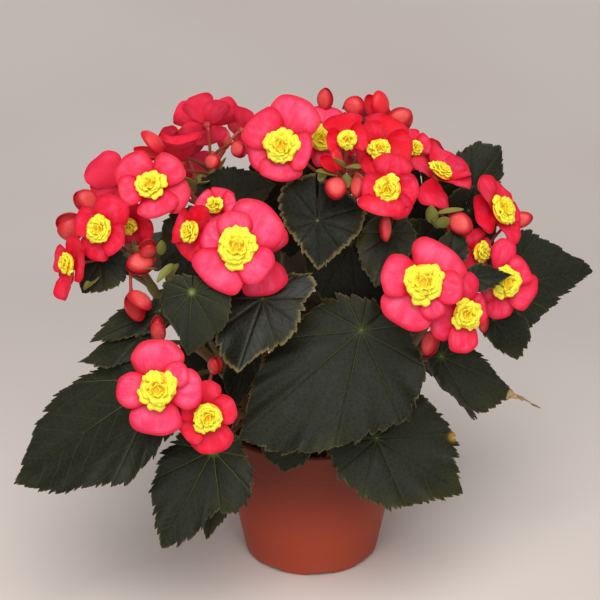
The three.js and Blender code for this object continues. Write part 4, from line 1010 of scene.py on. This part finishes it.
def crumb_form(size):
    """Loose crumbs on the soil: eight-faced lumps of seeded size, turned about the upright, in a disc."""
    rng = np.random.default_rng(11)
    lump = np.array([[1, 0, 0], [0, 1, 0], [-1, 0, 0], [0, -1, 0], [0, 0, 1], [0, 0, -1]], float)
    faces = np.array([[0, 1, 4], [1, 2, 4], [2, 3, 4], [3, 0, 4], [1, 0, 5], [2, 1, 5], [3, 2, 5], [0, 3, 5]])
    radius = rng.uniform(0.5, 1.7, (CRUMBS, 1, 1)) * rng.uniform(0.6, 1.3, (CRUMBS, 6, 1))
    turn = rng.uniform(0, 2 * np.pi, CRUMBS)
    share = 0.95 * np.sqrt(rng.uniform(0, 1, CRUMBS))
    spin = rng.uniform(0, 2 * np.pi, (CRUMBS, 1))
    x = lump[:, 0] * np.cos(spin) - lump[:, 1] * np.sin(spin)
    y = lump[:, 0] * np.sin(spin) + lump[:, 1] * np.cos(spin)
    shape = np.stack(np.broadcast_arrays(x, y, lump[:, 2] * 0.7), -1) * radius
    rho = share * (side_radius(size, SOIL_TOP) - size["pot_wall"])
    place = flat(rho * np.cos(turn), rho * np.sin(turn), mound(share) + 0.5)
    points = (shape + place[:, None]).reshape(-1, 3)
    return Form(points, [copies(faces, len(lump), CRUMBS)], np.zeros((len(points), 2)))


# ---- Leaves ----

VEIN_STEP = 36.0  # degrees between the main veins
DROOP = 0.1
WAVE = 0.035
BASE_ANGLE = 178.0  # how far round from the tip the blade goes, each way
SMALL_EDGE_STEP, SMALL_RINGS, SMALL_TURN = 0.75, 13, 2.2
BROAD_EDGE_STEP, BROAD_TURN = 0.5, 3.7
HAIRS_PER_MM = 2.2
LEAVES = [*SMALL_LEAVES, *BROAD_LEAVES.values()]


def outline(reach, angles):
    """The edge's distance from the hub: straight from one reach to the next, rounded off away from the
    tip by an average over a few degrees."""
    step = 330.0 / (len(reach) - 1) if len(reach) > 20 else 30.0
    half = step * (len(reach) - 1) / 2
    fine = np.arange(-BASE_ANGLE - 12, BASE_ANGLE + 12.1, 0.5)
    place = np.clip((fine + half) / step, 0, len(reach) - 1.001)
    i = place.astype(int)
    here, whole = np.radians((place - i) * step), np.radians(step)
    a, b = reach[i], reach[i + 1]
    straight = a * b * np.sin(whole) / (a * np.sin(here) + b * np.sin(whole - here))
    bell = np.exp(-(np.arange(-12, 13) / 7.0) ** 2)
    rounded = np.convolve(np.pad(straight, 12, mode="edge"), bell / bell.sum(), mode="valid")
    share = smooth(3, 16, np.abs(fine))
    return np.interp(angles, fine, straight * (1 - share) + rounded * share)


def teeth(from_tip, side, spacing, depth, rng):
    """How far the edge stands out at a distance from the tip: teeth of seeded width and height that rise
    towards the tip and drop steeply, each cut into three smaller ones."""
    ends = np.cumsum(rng.uniform(0.4, 1.6, 240)) * spacing
    tall = 0.3 + 1.7 * rng.uniform(0, 1, 240) ** 2
    place = from_tip + np.where(side < 0, 40 * spacing, 0.0)
    i = np.searchsorted(ends, place)
    start = np.where(i > 0, ends[i - 1], 0)
    part = (place - start) / (ends[i] - start)
    return depth * tall[i] * ((1 - part) * smooth(0, 0.16, part) * 1.3 - 0.45 + 0.4 * (0.5 - 3 * part % 1))


def leaf_form(size, row, turn, edge_step, rings):
    """A toothed blade round its hub. In the hub's plane, a point is at an angle round from the tip and a
    distance out. Its height over the plane falls with the square of the distance, waves three times
    round, rises between the main veins, dips along them, and ruffles near the edge in a fine and a broad
    wave. The teeth fade out a fifth of the way in."""
    rng = np.random.default_rng(round(abs(turn) * 100) + 3)
    hub, out, length = row["hub"], row["out"], row["length"]
    fine = np.linspace(-BASE_ANGLE, BASE_ANGLE, 3001)
    edge_fine = outline(row["reach"], fine)
    x, y = edge_fine * np.cos(np.radians(fine)), edge_fine * np.sin(np.radians(fine))
    far = distances(flat(x, y))
    count = max(60, int(far[-1] / edge_step))
    even = np.linspace(0, far[-1], count)
    angle = np.interp(even, far, fine)
    past_tip = even - far[len(far) // 2]
    from_tip = np.abs(past_tip)
    grown = min(1.0, 0.35 + length / 130)
    tooth = teeth(from_tip, past_tip, size["tooth_spacing"] * grown, size["tooth_depth"] * grown, rng)
    tooth *= smooth(0, 5, from_tip) * smooth(-BASE_ANGLE - 1, -BASE_ANGLE + 16, -np.abs(angle))
    t = np.linspace(0, 1, rings + 1)[1:]
    share = (0.45 * t + 0.55 * np.sin(t * np.pi / 2))[:, None]
    radius = share * outline(row["reach"], angle) + tooth * smooth(0.8, 1, share) ** 2
    theta = np.radians(angle)[None]
    s = radius / length
    spoke = angle[None] / VEIN_STEP
    from_vein = radius * np.radians(VEIN_STEP) * np.abs((spoke + 0.5) % 1 - 0.5)
    broad_wave = np.sin(past_tip / 9.3 + 1.5 * np.sin(past_tip / 23) + turn)
    height = length * (-DROOP * s**2 + WAVE * s * np.sin(3 * theta + turn))
    height += 0.013 * length * np.sin(np.pi * spoke) ** 2 * s * (1 - 0.45 * s)
    height -= 0.3 * np.exp(-(from_vein / 0.9) ** 2)
    height += 1.2 * grown * share**5 * np.sin(past_tip / 3.4 + 3 * turn)
    height += row["ruffle"] * grown * share**3 * broad_wave
    local = np.stack([radius * np.cos(theta), radius * np.sin(theta), height], -1)
    points = hub + local @ np.stack([row["along"], np.cross(out, row["along"]), out])
    normals = unit(np.cross(np.gradient(points, axis=0), np.gradient(points, axis=1)))
    points = np.concatenate([[hub - 0.3 * out], points.reshape(-1, 3)])
    normals = np.concatenate([[out], normals.reshape(-1, 3)])
    thin = size["blade_thickness"] / 2 * np.interp(share, [0, 0.9, 1], [1, 0.8, 0.35]) + 0 * radius
    thin = np.concatenate([[size["blade_thickness"] / 2], thin.ravel()])[:, None]
    grid = 1 + np.arange(rings * count).reshape(rings, count)
    fan = np.stack([np.zeros(count - 1, int), grid[0, :-1], grid[0, 1:]], -1)
    loop = np.concatenate([[0], grid[:, 0], grid[-1, 1:-1], grid[::-1, -1]])
    pattern = np.concatenate([[[20, 0]], flat(spoke + 20, s)])
    edge = np.concatenate([[50.0], (radius[-1][None] - radius).ravel()])
    from_spot = np.linalg.norm(points - YELLOW_SPOT, axis=1)
    # dark carries the leaf's painted shade to its finish.
    return closed(points + normals * thin, points - normals * thin, [quads_of(grid), fan], loop, pattern,
                  edge=edge, yellow=np.exp(-(from_spot / YELLOW_RADIUS) ** 4), veins=row["veins"],
                  tan=row["tan"], dark=row["dark"])


def dried_tip():
    """The dried leaf tip: a strip along its path, narrowing to a point, twisted and crinkled."""
    path = through(TIP_DRIED, 60)
    share = np.linspace(0, 1, len(path))[:, None]
    along = unit(np.gradient(path, axis=0))
    twist = 0.6 + 2.2 * share
    side = np.cross(along, [0.0, 0.0, 1.0])
    side = unit(side) * np.sin(twist) + unit(np.cross(along, side)) * np.cos(twist)
    v = np.linspace(-1, 1, 9)[None]
    half = 2.6 * (1 - share) ** 0.8 * (1 + 0.35 * np.sin(share * 19)) + 0.12
    ripple = 0.5 * (1 - share) * np.sin(share * 37 + v * 2.5)
    points = path[:, None] + side[:, None] * (half * v)[..., None] + np.array([0, 0, 1.0]) * ripple[..., None]
    return thin_sheets(points[None], 0.2, share, v)


def leaf_stalk(row):
    """A leaf's stalk: an arch from under the hub to its place on the stem, thicker at both ends. Gives
    the rod, its path and its radii."""
    top = row["hub"] - row["out"] * 0.5
    foot = CURVES[row["stem"]][round(row["at"] * STEM_STEPS)]
    far = np.linalg.norm(foot - top)
    bend = foot + (top - foot) * 0.35 + np.array([0, 0, 0.1 * far])
    path = evenly(arch(top, top - row["out"] * 0.25 * far, bend, foot, 40), 26)
    share = np.linspace(0, 1, len(path))
    radii = 1.45 + 0.25 * share + 0.5 * np.exp(-share * 22) + 0.7 * np.exp(-(1 - share) * 18)
    pale = np.append(np.exp(-share * 9).repeat(10), [1, 0])
    return rod(path, radii, 10, pale=pale, reddish=0.0), path, radii


def stem_rod(name):
    """A stem: thicker at its foot, swollen at the joints where leaves leave it. Gives the rod, its path
    and its radii."""
    path = evenly(CURVES[name], 90)
    share = np.linspace(0, 1, len(path))
    radii = 4.0 - 1.4 * share
    for at in [row["at"] for row in LEAVES if row["stem"] == name]:
        radii = radii + 0.55 * np.exp(-((share - at) / 0.018) ** 2)
    return rod(path, radii, 16, pale=0.0, reddish=0.0), path, radii


def hairs(size, lines, seed):
    """Fine hairs: three-sided spikes with closed feet, at seeded places on the surface of rods, leaning a
    little along them. Each is four points: three round its foot and its tip."""
    rng = np.random.default_rng(seed)
    feet, ways = [], []
    for path, radii in lines:
        n = int(distances(path)[-1] * HAIRS_PER_MM)
        where = rng.uniform(0.03, 0.97, n) * (len(path) - 1)
        low = where.astype(int)
        part = (where - low)[:, None]
        middle = path[low] * (1 - part) + path[low + 1] * part
        radius = np.interp(where, np.arange(len(path)), radii)[:, None]
        along = unit(path[low + 1] - path[low])
        way = rng.normal(size=(n, 3))
        way = unit(way - along * (way * along).sum(1, keepdims=True))
        feet.append(middle + way * radius * 0.95)
        ways.append(unit(way + along * rng.uniform(-0.3, 0.3, (n, 1))))
    feet, ways = np.concatenate(feet), np.concatenate(ways)
    n = len(feet)
    helper = unit(np.cross(ways, rng.normal(size=(n, 3))))
    other = np.cross(ways, helper)
    turn = 2 * np.pi * np.arange(3) / 3
    ring = helper[:, None] * np.cos(turn)[:, None] + other[:, None] * np.sin(turn)[:, None]
    long = size["hair_length"] * rng.uniform(0.5, 1.2, (n, 1))
    points = np.concatenate([feet[:, None] + 0.09 * ring, (feet + ways * long)[:, None]], axis=1)
    faces = np.array([[0, 1, 3], [1, 2, 3], [2, 0, 3], [2, 1, 0]])
    return Form(points.reshape(-1, 3), [copies(faces, 4, n)], np.zeros((4 * n, 2)), pale=1.0, reddish=0.0)


# ---- Blooms ----

PETAL_X, PETAL_Y = disc(15)
PETAL_RHO = np.hypot(PETAL_X, PETAL_Y)
PETAL_OUT = 0.5 + 0.5 * PETAL_X
LOBE_A, LOBE_B = np.meshgrid(np.linspace(0, 1, 8), np.linspace(-1, 1, 11), indexing="ij")
GOLDEN_ANGLE = 2.39996


def round_middle(turn, out, aside, height):
    """Points so far out and aside of a direction round a bloom's middle, at a height over its plane."""
    x = out * np.cos(turn) - aside * np.sin(turn)
    y = out * np.sin(turn) + aside * np.cos(turn)
    return np.stack(np.broadcast_arrays(x, y, height), -1)


def petal_sheets(size, row, rng):
    """Petals round a bloom's middle. a goes out along a petal and b to its side, over a rounded outline
    that is broadest past its middle. The distance out grows with a. The height over the bloom's plane
    rises at 11 degrees and 6 more for each layer, bends back with a cubed, is cupped in young blooms and
    pillowed in open ones, and ripples round the rim."""
    table = np.array(row["petals"], float)[:, :, None, None]
    turn, length, width, layer = np.radians(table[:, 0]), table[:, 1], table[:, 2], table[:, 3]
    each, youth = (len(table), 1, 1), row["youth"]
    phase = rng.uniform(0, 2 * np.pi, (4, *each))
    rho, phi = PETAL_RHO, np.arctan2(PETAL_Y, PETAL_X)
    wavy = 1 + 0.03 * rho**2 * np.sin(3 * phi + phase[0]) + 0.016 * rho**2 * np.sin(7 * phi + phase[1])
    a = 0.5 + 0.5 * PETAL_X * wavy
    b = PETAL_Y * (0.6 + 0.4 * a) / 0.82 * wavy
    out = 2 + (length - 2) * a
    height = np.tan(np.radians(11 + 6 * layer)) * out - 0.16 * length * a**3 - 2
    height += 0.04 * width * layer * b**2 + 1.3 * layer * np.minimum(1, 2.5 * a)
    height += (1 - youth) * (0.03 * width * (1 - rho**2) - 0.01 * width * rho**8)
    height += youth * width * (0.1 * rho**2 - 0.04)
    height += 0.03 * width * rho**3 * np.sin(4 * phi + phase[2]) + 0.5 * a * np.sin(2.2 * b + phase[3])
    height += 0.01 * width * rho**4 * np.sin(9 * phi + phase[0])
    points = row["at"] + round_middle(turn, out, width / 2 * b, height) @ axes_of(row["out"])
    half = size["petal_thickness"] / 2 * (1 - 0.8 * rho**3)
    tint = np.clip(youth + rng.uniform(-0.1, 0.1, each), 0, 1)
    return thin_sheets(points, half, a, b, youth=tint, rim=rho, seed=rng.uniform(0, 20, each))


def centre_sheets(row, rng):
    """The ruffled yellow centre: spoon-shaped lobes set by the golden angle with a seeded unevenness. A
    lobe's tip is at the share of the centre's radius that the square root of its number gives. Along a
    lobe the distance out grows, the height rises fast and then levels, and its end is notched and
    ruffled. One shallow bowl closes the view below them."""
    radius = row["radius"]
    count = 10 + int(radius * 1.2)
    each = (count, 1, 1)
    number = np.arange(count)[:, None, None]
    share = np.sqrt((number + 0.5) / count) * rng.uniform(0.86, 1.1, each)
    turn = number * GOLDEN_ANGLE + rng.uniform(-0.45, 0.45, each)
    a, b = LOBE_A, LOBE_B
    rim = 1.2 + 0.55 * radius
    top = np.interp(share, [0.1, 0.45, 0.75, 1.05], [rim + 3.0, rim + 2.8, rim + 1.8, rim - 0.4])
    top = top + rng.uniform(-0.4, 0.4, each)
    phase = rng.uniform(0, 2 * np.pi, (4, *each))
    frill = a**3 * (0.04 * np.sin(5 * b + phase[2]) + 0.015 * np.sin(11 * b + phase[3]) - 0.16 * b**4)
    out = radius * share * (0.25 + 0.75 * a**1.25) + radius * frill
    aside = radius * (0.22 + 0.2 * share) * (0.35 + 0.9 * a - 0.25 * a**4) * b
    height = 1.6 + (top - 1.6) * (1 - (1 - a) ** 1.8) - 0.1 * radius * share * a**5
    height += 0.04 * radius * a**2 * np.sin(4 * b + phase[0]) + 0.06 * radius * b**2 * np.cos(phase[1])
    lobes = round_middle(turn, out, aside, height)
    u, v = 2 * a - 1, b
    x, y = 0.84 * radius * u * np.sqrt(1 - v**2 / 2), 0.84 * radius * v * np.sqrt(1 - u**2 / 2)
    bowl = np.stack([x, y, rim - 0.6 - 1.6 * np.hypot(x, y) / radius], -1)
    points = row["at"] + np.concatenate([lobes, bowl[None]]) @ axes_of(row["out"])
    far = np.concatenate([np.broadcast_to(a, lobes.shape[:3]), np.full((1, *a.shape), 0.35)])
    return thin_sheets(points, 0.28, far, b, inner=np.append(1 - share, 0)[:, None, None])


def bud_sheets(rng, at, face, long, wide, apart, spin=None, dark=0.0):
    """A bud: two bowl-shaped petals face to face, each an egg outline whose depth is that of half an
    ellipsoid, opened about the bud's foot by half the angle that they stand apart. One of them faces the
    way that is seen, turned about the bud's length by its spin, which is seeded where it isn't given."""
    out = facing(*face)
    shown = square(np.array(at, float) * [1, 1, 0] / 100 if at[1] > 30 else facing(-90, 25), out)
    seeded = rng.uniform(-40, 40)
    spin = np.radians(seeded if spin is None else spin)
    right = np.cross(shown, out) * np.cos(spin) + shown * np.sin(spin)
    rho, a = PETAL_RHO, PETAL_OUT
    aside = PETAL_Y * wide / 2 * (1.06 - 0.28 * (a - 0.4) ** 2 - 0.12 * a)
    depth = 0.3 * wide * np.sqrt(np.clip(1 - rho**2.4, 0, 1)) + 0.15
    lean = np.radians(apart / 2)
    opened = depth * np.cos(lean) + long * a * np.sin(lean)
    along = long * a * np.cos(lean) - depth * np.sin(lean) - long / 2
    local = np.stack([np.stack([along, way * aside, way * opened], -1) for way in (1, -1)])
    points = np.array(at, float) + local @ np.stack([out, right, np.cross(out, right)])
    return thin_sheets(points, 0.35 * (1 - 0.5 * rho**3), a, PETAL_Y, rim=rho, dark=dark,
                       seed=rng.uniform(0, 20, (2, 1, 1)))


def bract_sheet(at, face, long, wide):
    """A small boat-shaped bract from its foot, cupped along its middle."""
    right, _, out = axes_of(facing(*face))
    a = PETAL_OUT
    aside = PETAL_Y * wide / 2 * (1.1 - 0.5 * a**2)
    height = 0.22 * wide * PETAL_Y**2 + 0.18 * long * a**2 - 0.1 * long
    local = np.stack([long * a, aside, height], -1)
    points = np.array(at, float) + local @ np.stack([out, right, np.cross(out, right)])
    return thin_sheets(points[None], 0.3, a, PETAL_Y, rim=PETAL_RHO)


def pedicel(start, at, out, back, flare):
    """The thin stalk from a spray's fork to the back of a bloom or bud, widening into it."""
    reach = np.linalg.norm(at - start)
    bend = start + (at - start) * 0.45 - out * 0.12 * reach + np.array([0, 0, 0.06 * reach])
    foot = at - out * back
    path = through([start, bend, foot - out * 1.0, foot], 26)
    share = np.linspace(0, 1, len(path))
    radii = 1.45 - 0.45 * np.minimum(1, share * 2) + flare * smooth(0.86, 1, share)
    return rod(path, radii, 8, pale=0.0, reddish=np.append(0.15 + 0.7 * share.repeat(8), [0.15, 0.85]))


STUB = [[-1.0, 2.7], [4, 2.7], [9, 2.4], [12, 1.9]]  # how far along, and the radius there
KNOB = [[-4.4, 1.2], [-3.4, 2.1], [-2.0, 3.0], [-0.8, 3.1], [0.4, 2.4]]


def turned_rod(at, way, profile, reddish):
    """A short rod through a point, with a radius for each distance along its way."""
    path = [at + way * far for far, _ in profile]
    return rod(path, [radius for _, radius in profile], 14, pale=0.0, reddish=reddish)


def spray_stalks(name):
    """The stub above a stem, with the stalks of its blooms and buds one above the other, and the small
    knob behind each bloom."""
    curve, blooms, buds = CURVES["stem_" + name], BLOOMS[name], BUDS.get(name, [])
    tip, up = curve[-1], unit(curve[-1] - curve[-2])
    count = len(blooms) + len(buds)
    starts = [tip + up * (2 + 9 * i / max(count - 1, 1)) for i in range(count)]
    rods = [turned_rod(tip, up, STUB, 0.1)]
    for row, start in zip(blooms, starts):
        at, out = row["at"], row["out"]
        rods.append(pedicel(start, at, out, 4.0, 0.4))
        rods.append(turned_rod(at, out, KNOB, 0.8))
    for (at, face, long, *_), start in zip(buds, starts[len(blooms):]):
        rods.append(pedicel(start, np.array(at, float), facing(*face), long / 2 - 0.6, 0.6))
    return gather(rods)


# ---- Stage ----

FLOOR_HALF = 20  # metres
LAMPS = [("key", -84, 60, 45, 2.0), ("fill", -96, 28, 60, 1.1)]  # azimuth, elevation, softness, power
LAMP_COLOUR = (1.0, 0.99, 0.98)
ROOM_COLOUR = (1.0, 0.99, 0.985, 1)
ROOM_LIGHT = 0.4
CAMERA_PLACE = (-0.0075, -1.4441, 0.8688)  # metres
CAMERA_DOWN = 25.5  # degrees below level
CAMERA_LENS, SENSOR_WIDTH = 150, 36


def add_to_stage(name, data):
    """A new object in the scene."""
    made = bpy.data.objects.new(name, data)
    bpy.context.scene.collection.objects.link(made)
    return made


# ---- Operators ----

class BEGONIA_OT_stage(bpy.types.Operator):
    """Set the pale floor, the soft lights and the camera."""

    bl_idname = "begonia.stage"
    bl_label = "Stage"

    def execute(self, context):
        mesh = bpy.data.meshes.new("floor")
        corners = [(x * FLOOR_HALF, y * FLOOR_HALF, 0) for x, y in ((-1, -1), (1, -1), (1, 1), (-1, 1))]
        mesh.from_pydata(corners, [], [(0, 1, 2, 3)])
        mesh.materials.append(floor_finish())
        floor = add_to_stage("floor", mesh)
        for name, azimuth, elevation, softness, power in LAMPS:
            light = bpy.data.lights.new(name, "SUN")
            light.angle = np.radians(softness)
            light.energy = power
            light.color = LAMP_COLOUR
            lamp = add_to_stage(name, light)
            lamp.rotation_euler = (np.radians(90 - elevation), 0, np.radians(azimuth + 90))
        world = bpy.data.worlds.new("soft_room")
        world.use_nodes = True
        background = world.node_tree.nodes["Background"]
        background.inputs["Color"].default_value = ROOM_COLOUR
        background.inputs["Strength"].default_value = ROOM_LIGHT
        context.scene.world = world
        context.scene.view_settings.view_transform = "Standard"
        camera = bpy.data.cameras.new("front_view")
        camera.sensor_width = SENSOR_WIDTH
        camera.lens = CAMERA_LENS
        seen = add_to_stage("front_view", camera)
        seen.location = CAMERA_PLACE
        seen.rotation_euler = (np.radians(90 - CAMERA_DOWN), 0, 0)
        context.scene.camera = seen
        return {"FINISHED"}


class BEGONIA_OT_pot(bpy.types.Operator):
    """Turn the plastic pot."""

    bl_idname = "begonia.pot"
    bl_label = "Pot"

    def execute(self, context):
        make_piece("pot_shell", pot_form(sizes()), pot_finish(), "pot_plastic", "pot")
        return {"FINISHED"}


class BEGONIA_OT_soil(bpy.types.Operator):
    """Fill the pot with soil and loose crumbs."""

    bl_idname = "begonia.soil"
    bl_label = "Soil"

    def execute(self, context):
        form = gather([soil_form(sizes()), crumb_form(sizes())])
        make_piece("soil_fill", form, soil_finish(), "potting_soil", "soil")
        return {"FINISHED"}


class BEGONIA_OT_stems(bpy.types.Operator):
    """Grow the stems with their leaf stalks and hairs, and the small leaves on them."""

    bl_idname = "begonia.stems"
    bl_label = "Stems and small leaves"

    def execute(self, context):
        size = sizes()
        for number, name in enumerate(STEMS):
            made = [stem_rod(name), *[leaf_stalk(row) for row in LEAVES if row["stem"] == name]]
            hair = hairs(size, [(path, radii) for _, path, radii in made], number + 40)
            form = gather([*[stalk for stalk, _, _ in made], hair])
            make_piece(name + "_stalks", form, stem_finish(), "stem", name)
            blades = [leaf_form(size, row, i * SMALL_TURN, SMALL_EDGE_STEP, SMALL_RINGS)
                      for i, row in enumerate(SMALL_LEAVES) if row["stem"] == name]
            if blades:
                make_piece(name + "_leaves", gather(blades), leaf_finish(False), "leaf", name)
        return {"FINISHED"}


class BEGONIA_OT_leaves(bpy.types.Operator):
    """Grow the broad leaves."""

    bl_idname = "begonia.leaves"
    bl_label = "Broad leaves"

    def execute(self, context):
        for i, (name, row) in enumerate(BROAD_LEAVES.items()):
            rings = 16 + int(row["length"] / 9)
            form = leaf_form(sizes(), row, i * BROAD_TURN, BROAD_EDGE_STEP, rings)
            make_piece(name + "_blade", form, leaf_finish(name == "leaf_glossy"), "leaf", name)
        make_piece("leaf_right_dried_tip", dried_tip(), withered_finish(), "leaf", "leaf_right")
        return {"FINISHED"}


class BEGONIA_OT_blooms(bpy.types.Operator):
    """Open the blooms: stalks, petals and ruffled centres."""

    bl_idname = "begonia.blooms"
    bl_label = "Blooms"

    def execute(self, context):
        for number, (name, blooms) in enumerate(BLOOMS.items()):
            rng = np.random.default_rng(number + 70)
            spray = "spray_" + name
            make_piece(spray + "_stalks", spray_stalks(name), stem_finish(), "stem", spray)
            petals = gather([petal_sheets(sizes(), row, rng) for row in blooms])
            make_piece(spray + "_petals", petals, petal_finish(), "petal", spray)
            named = [row for row in blooms if row["name"]]
            if named:
                centres = gather([centre_sheets(row, rng) for row in named])
                make_piece(spray + "_centres", centres, centre_finish(), "bloom_centre",
                           *["centre_%s_%s" % (name, row["name"]) for row in named])
        return {"FINISHED"}


class BEGONIA_OT_buds(bpy.types.Operator):
    """Hang the buds on their stalks."""

    bl_idname = "begonia.buds"
    bl_label = "Buds"

    def execute(self, context):
        for number, name in enumerate(BLOOMS):
            rng = np.random.default_rng(number + 170)
            if name in BUDS:
                form = gather([bud_sheets(rng, *row) for row in BUDS[name]])
                make_piece("spray_" + name + "_buds", form, bud_finish(), "petal", "spray_" + name)
        return {"FINISHED"}


class BEGONIA_OT_bracts(bpy.types.Operator):
    """Set the small green bracts where the stalks fork."""

    bl_idname = "begonia.bracts"
    bl_label = "Bracts"

    def execute(self, context):
        for name, rows in BRACTS.items():
            form = gather([bract_sheet(*row) for row in rows])
            make_piece("spray_" + name + "_bracts", form, bract_finish(), "stem", "spray_" + name)
        return {"FINISHED"}


STEPS = [
    BEGONIA_OT_stage, BEGONIA_OT_pot, BEGONIA_OT_soil, BEGONIA_OT_stems, BEGONIA_OT_leaves,
    BEGONIA_OT_blooms, BEGONIA_OT_buds, BEGONIA_OT_bracts,
]


class BEGONIA_PT_panel(bpy.types.Panel):
    """Lists the steps, the sizes and the colours."""

    bl_idname = "BEGONIA_PT_panel"
    bl_label = "Begonia"
    bl_space_type = "VIEW_3D"
    bl_region_type = "UI"
    bl_category = "Begonia"

    def draw(self, context):
        for step in STEPS:
            self.layout.operator(step.bl_idname)
        for group in (context.scene.begonia_sizes, context.scene.begonia_colours):
            for name in type(group).__annotations__:
                self.layout.prop(group, name)


CLASSES = [BegoniaSizes, BegoniaColours, *STEPS, BEGONIA_PT_panel]


def register():
    for item in CLASSES:
        bpy.utils.register_class(item)
    bpy.types.Scene.begonia_sizes = PointerProperty(type=BegoniaSizes)
    bpy.types.Scene.begonia_colours = PointerProperty(type=BegoniaColours)


def unregister():
    del bpy.types.Scene.begonia_colours
    del bpy.types.Scene.begonia_sizes
    for item in reversed(CLASSES):
        bpy.utils.unregister_class(item)


def main():
    """Builds everything."""
    register()
    bpy.ops.begonia.stage()
    bpy.ops.begonia.pot()
    bpy.ops.begonia.soil()
    bpy.ops.begonia.stems()
    bpy.ops.begonia.leaves()
    bpy.ops.begonia.blooms()
    bpy.ops.begonia.buds()
    bpy.ops.begonia.bracts()
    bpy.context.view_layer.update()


if __name__ == "__main__":
    main()
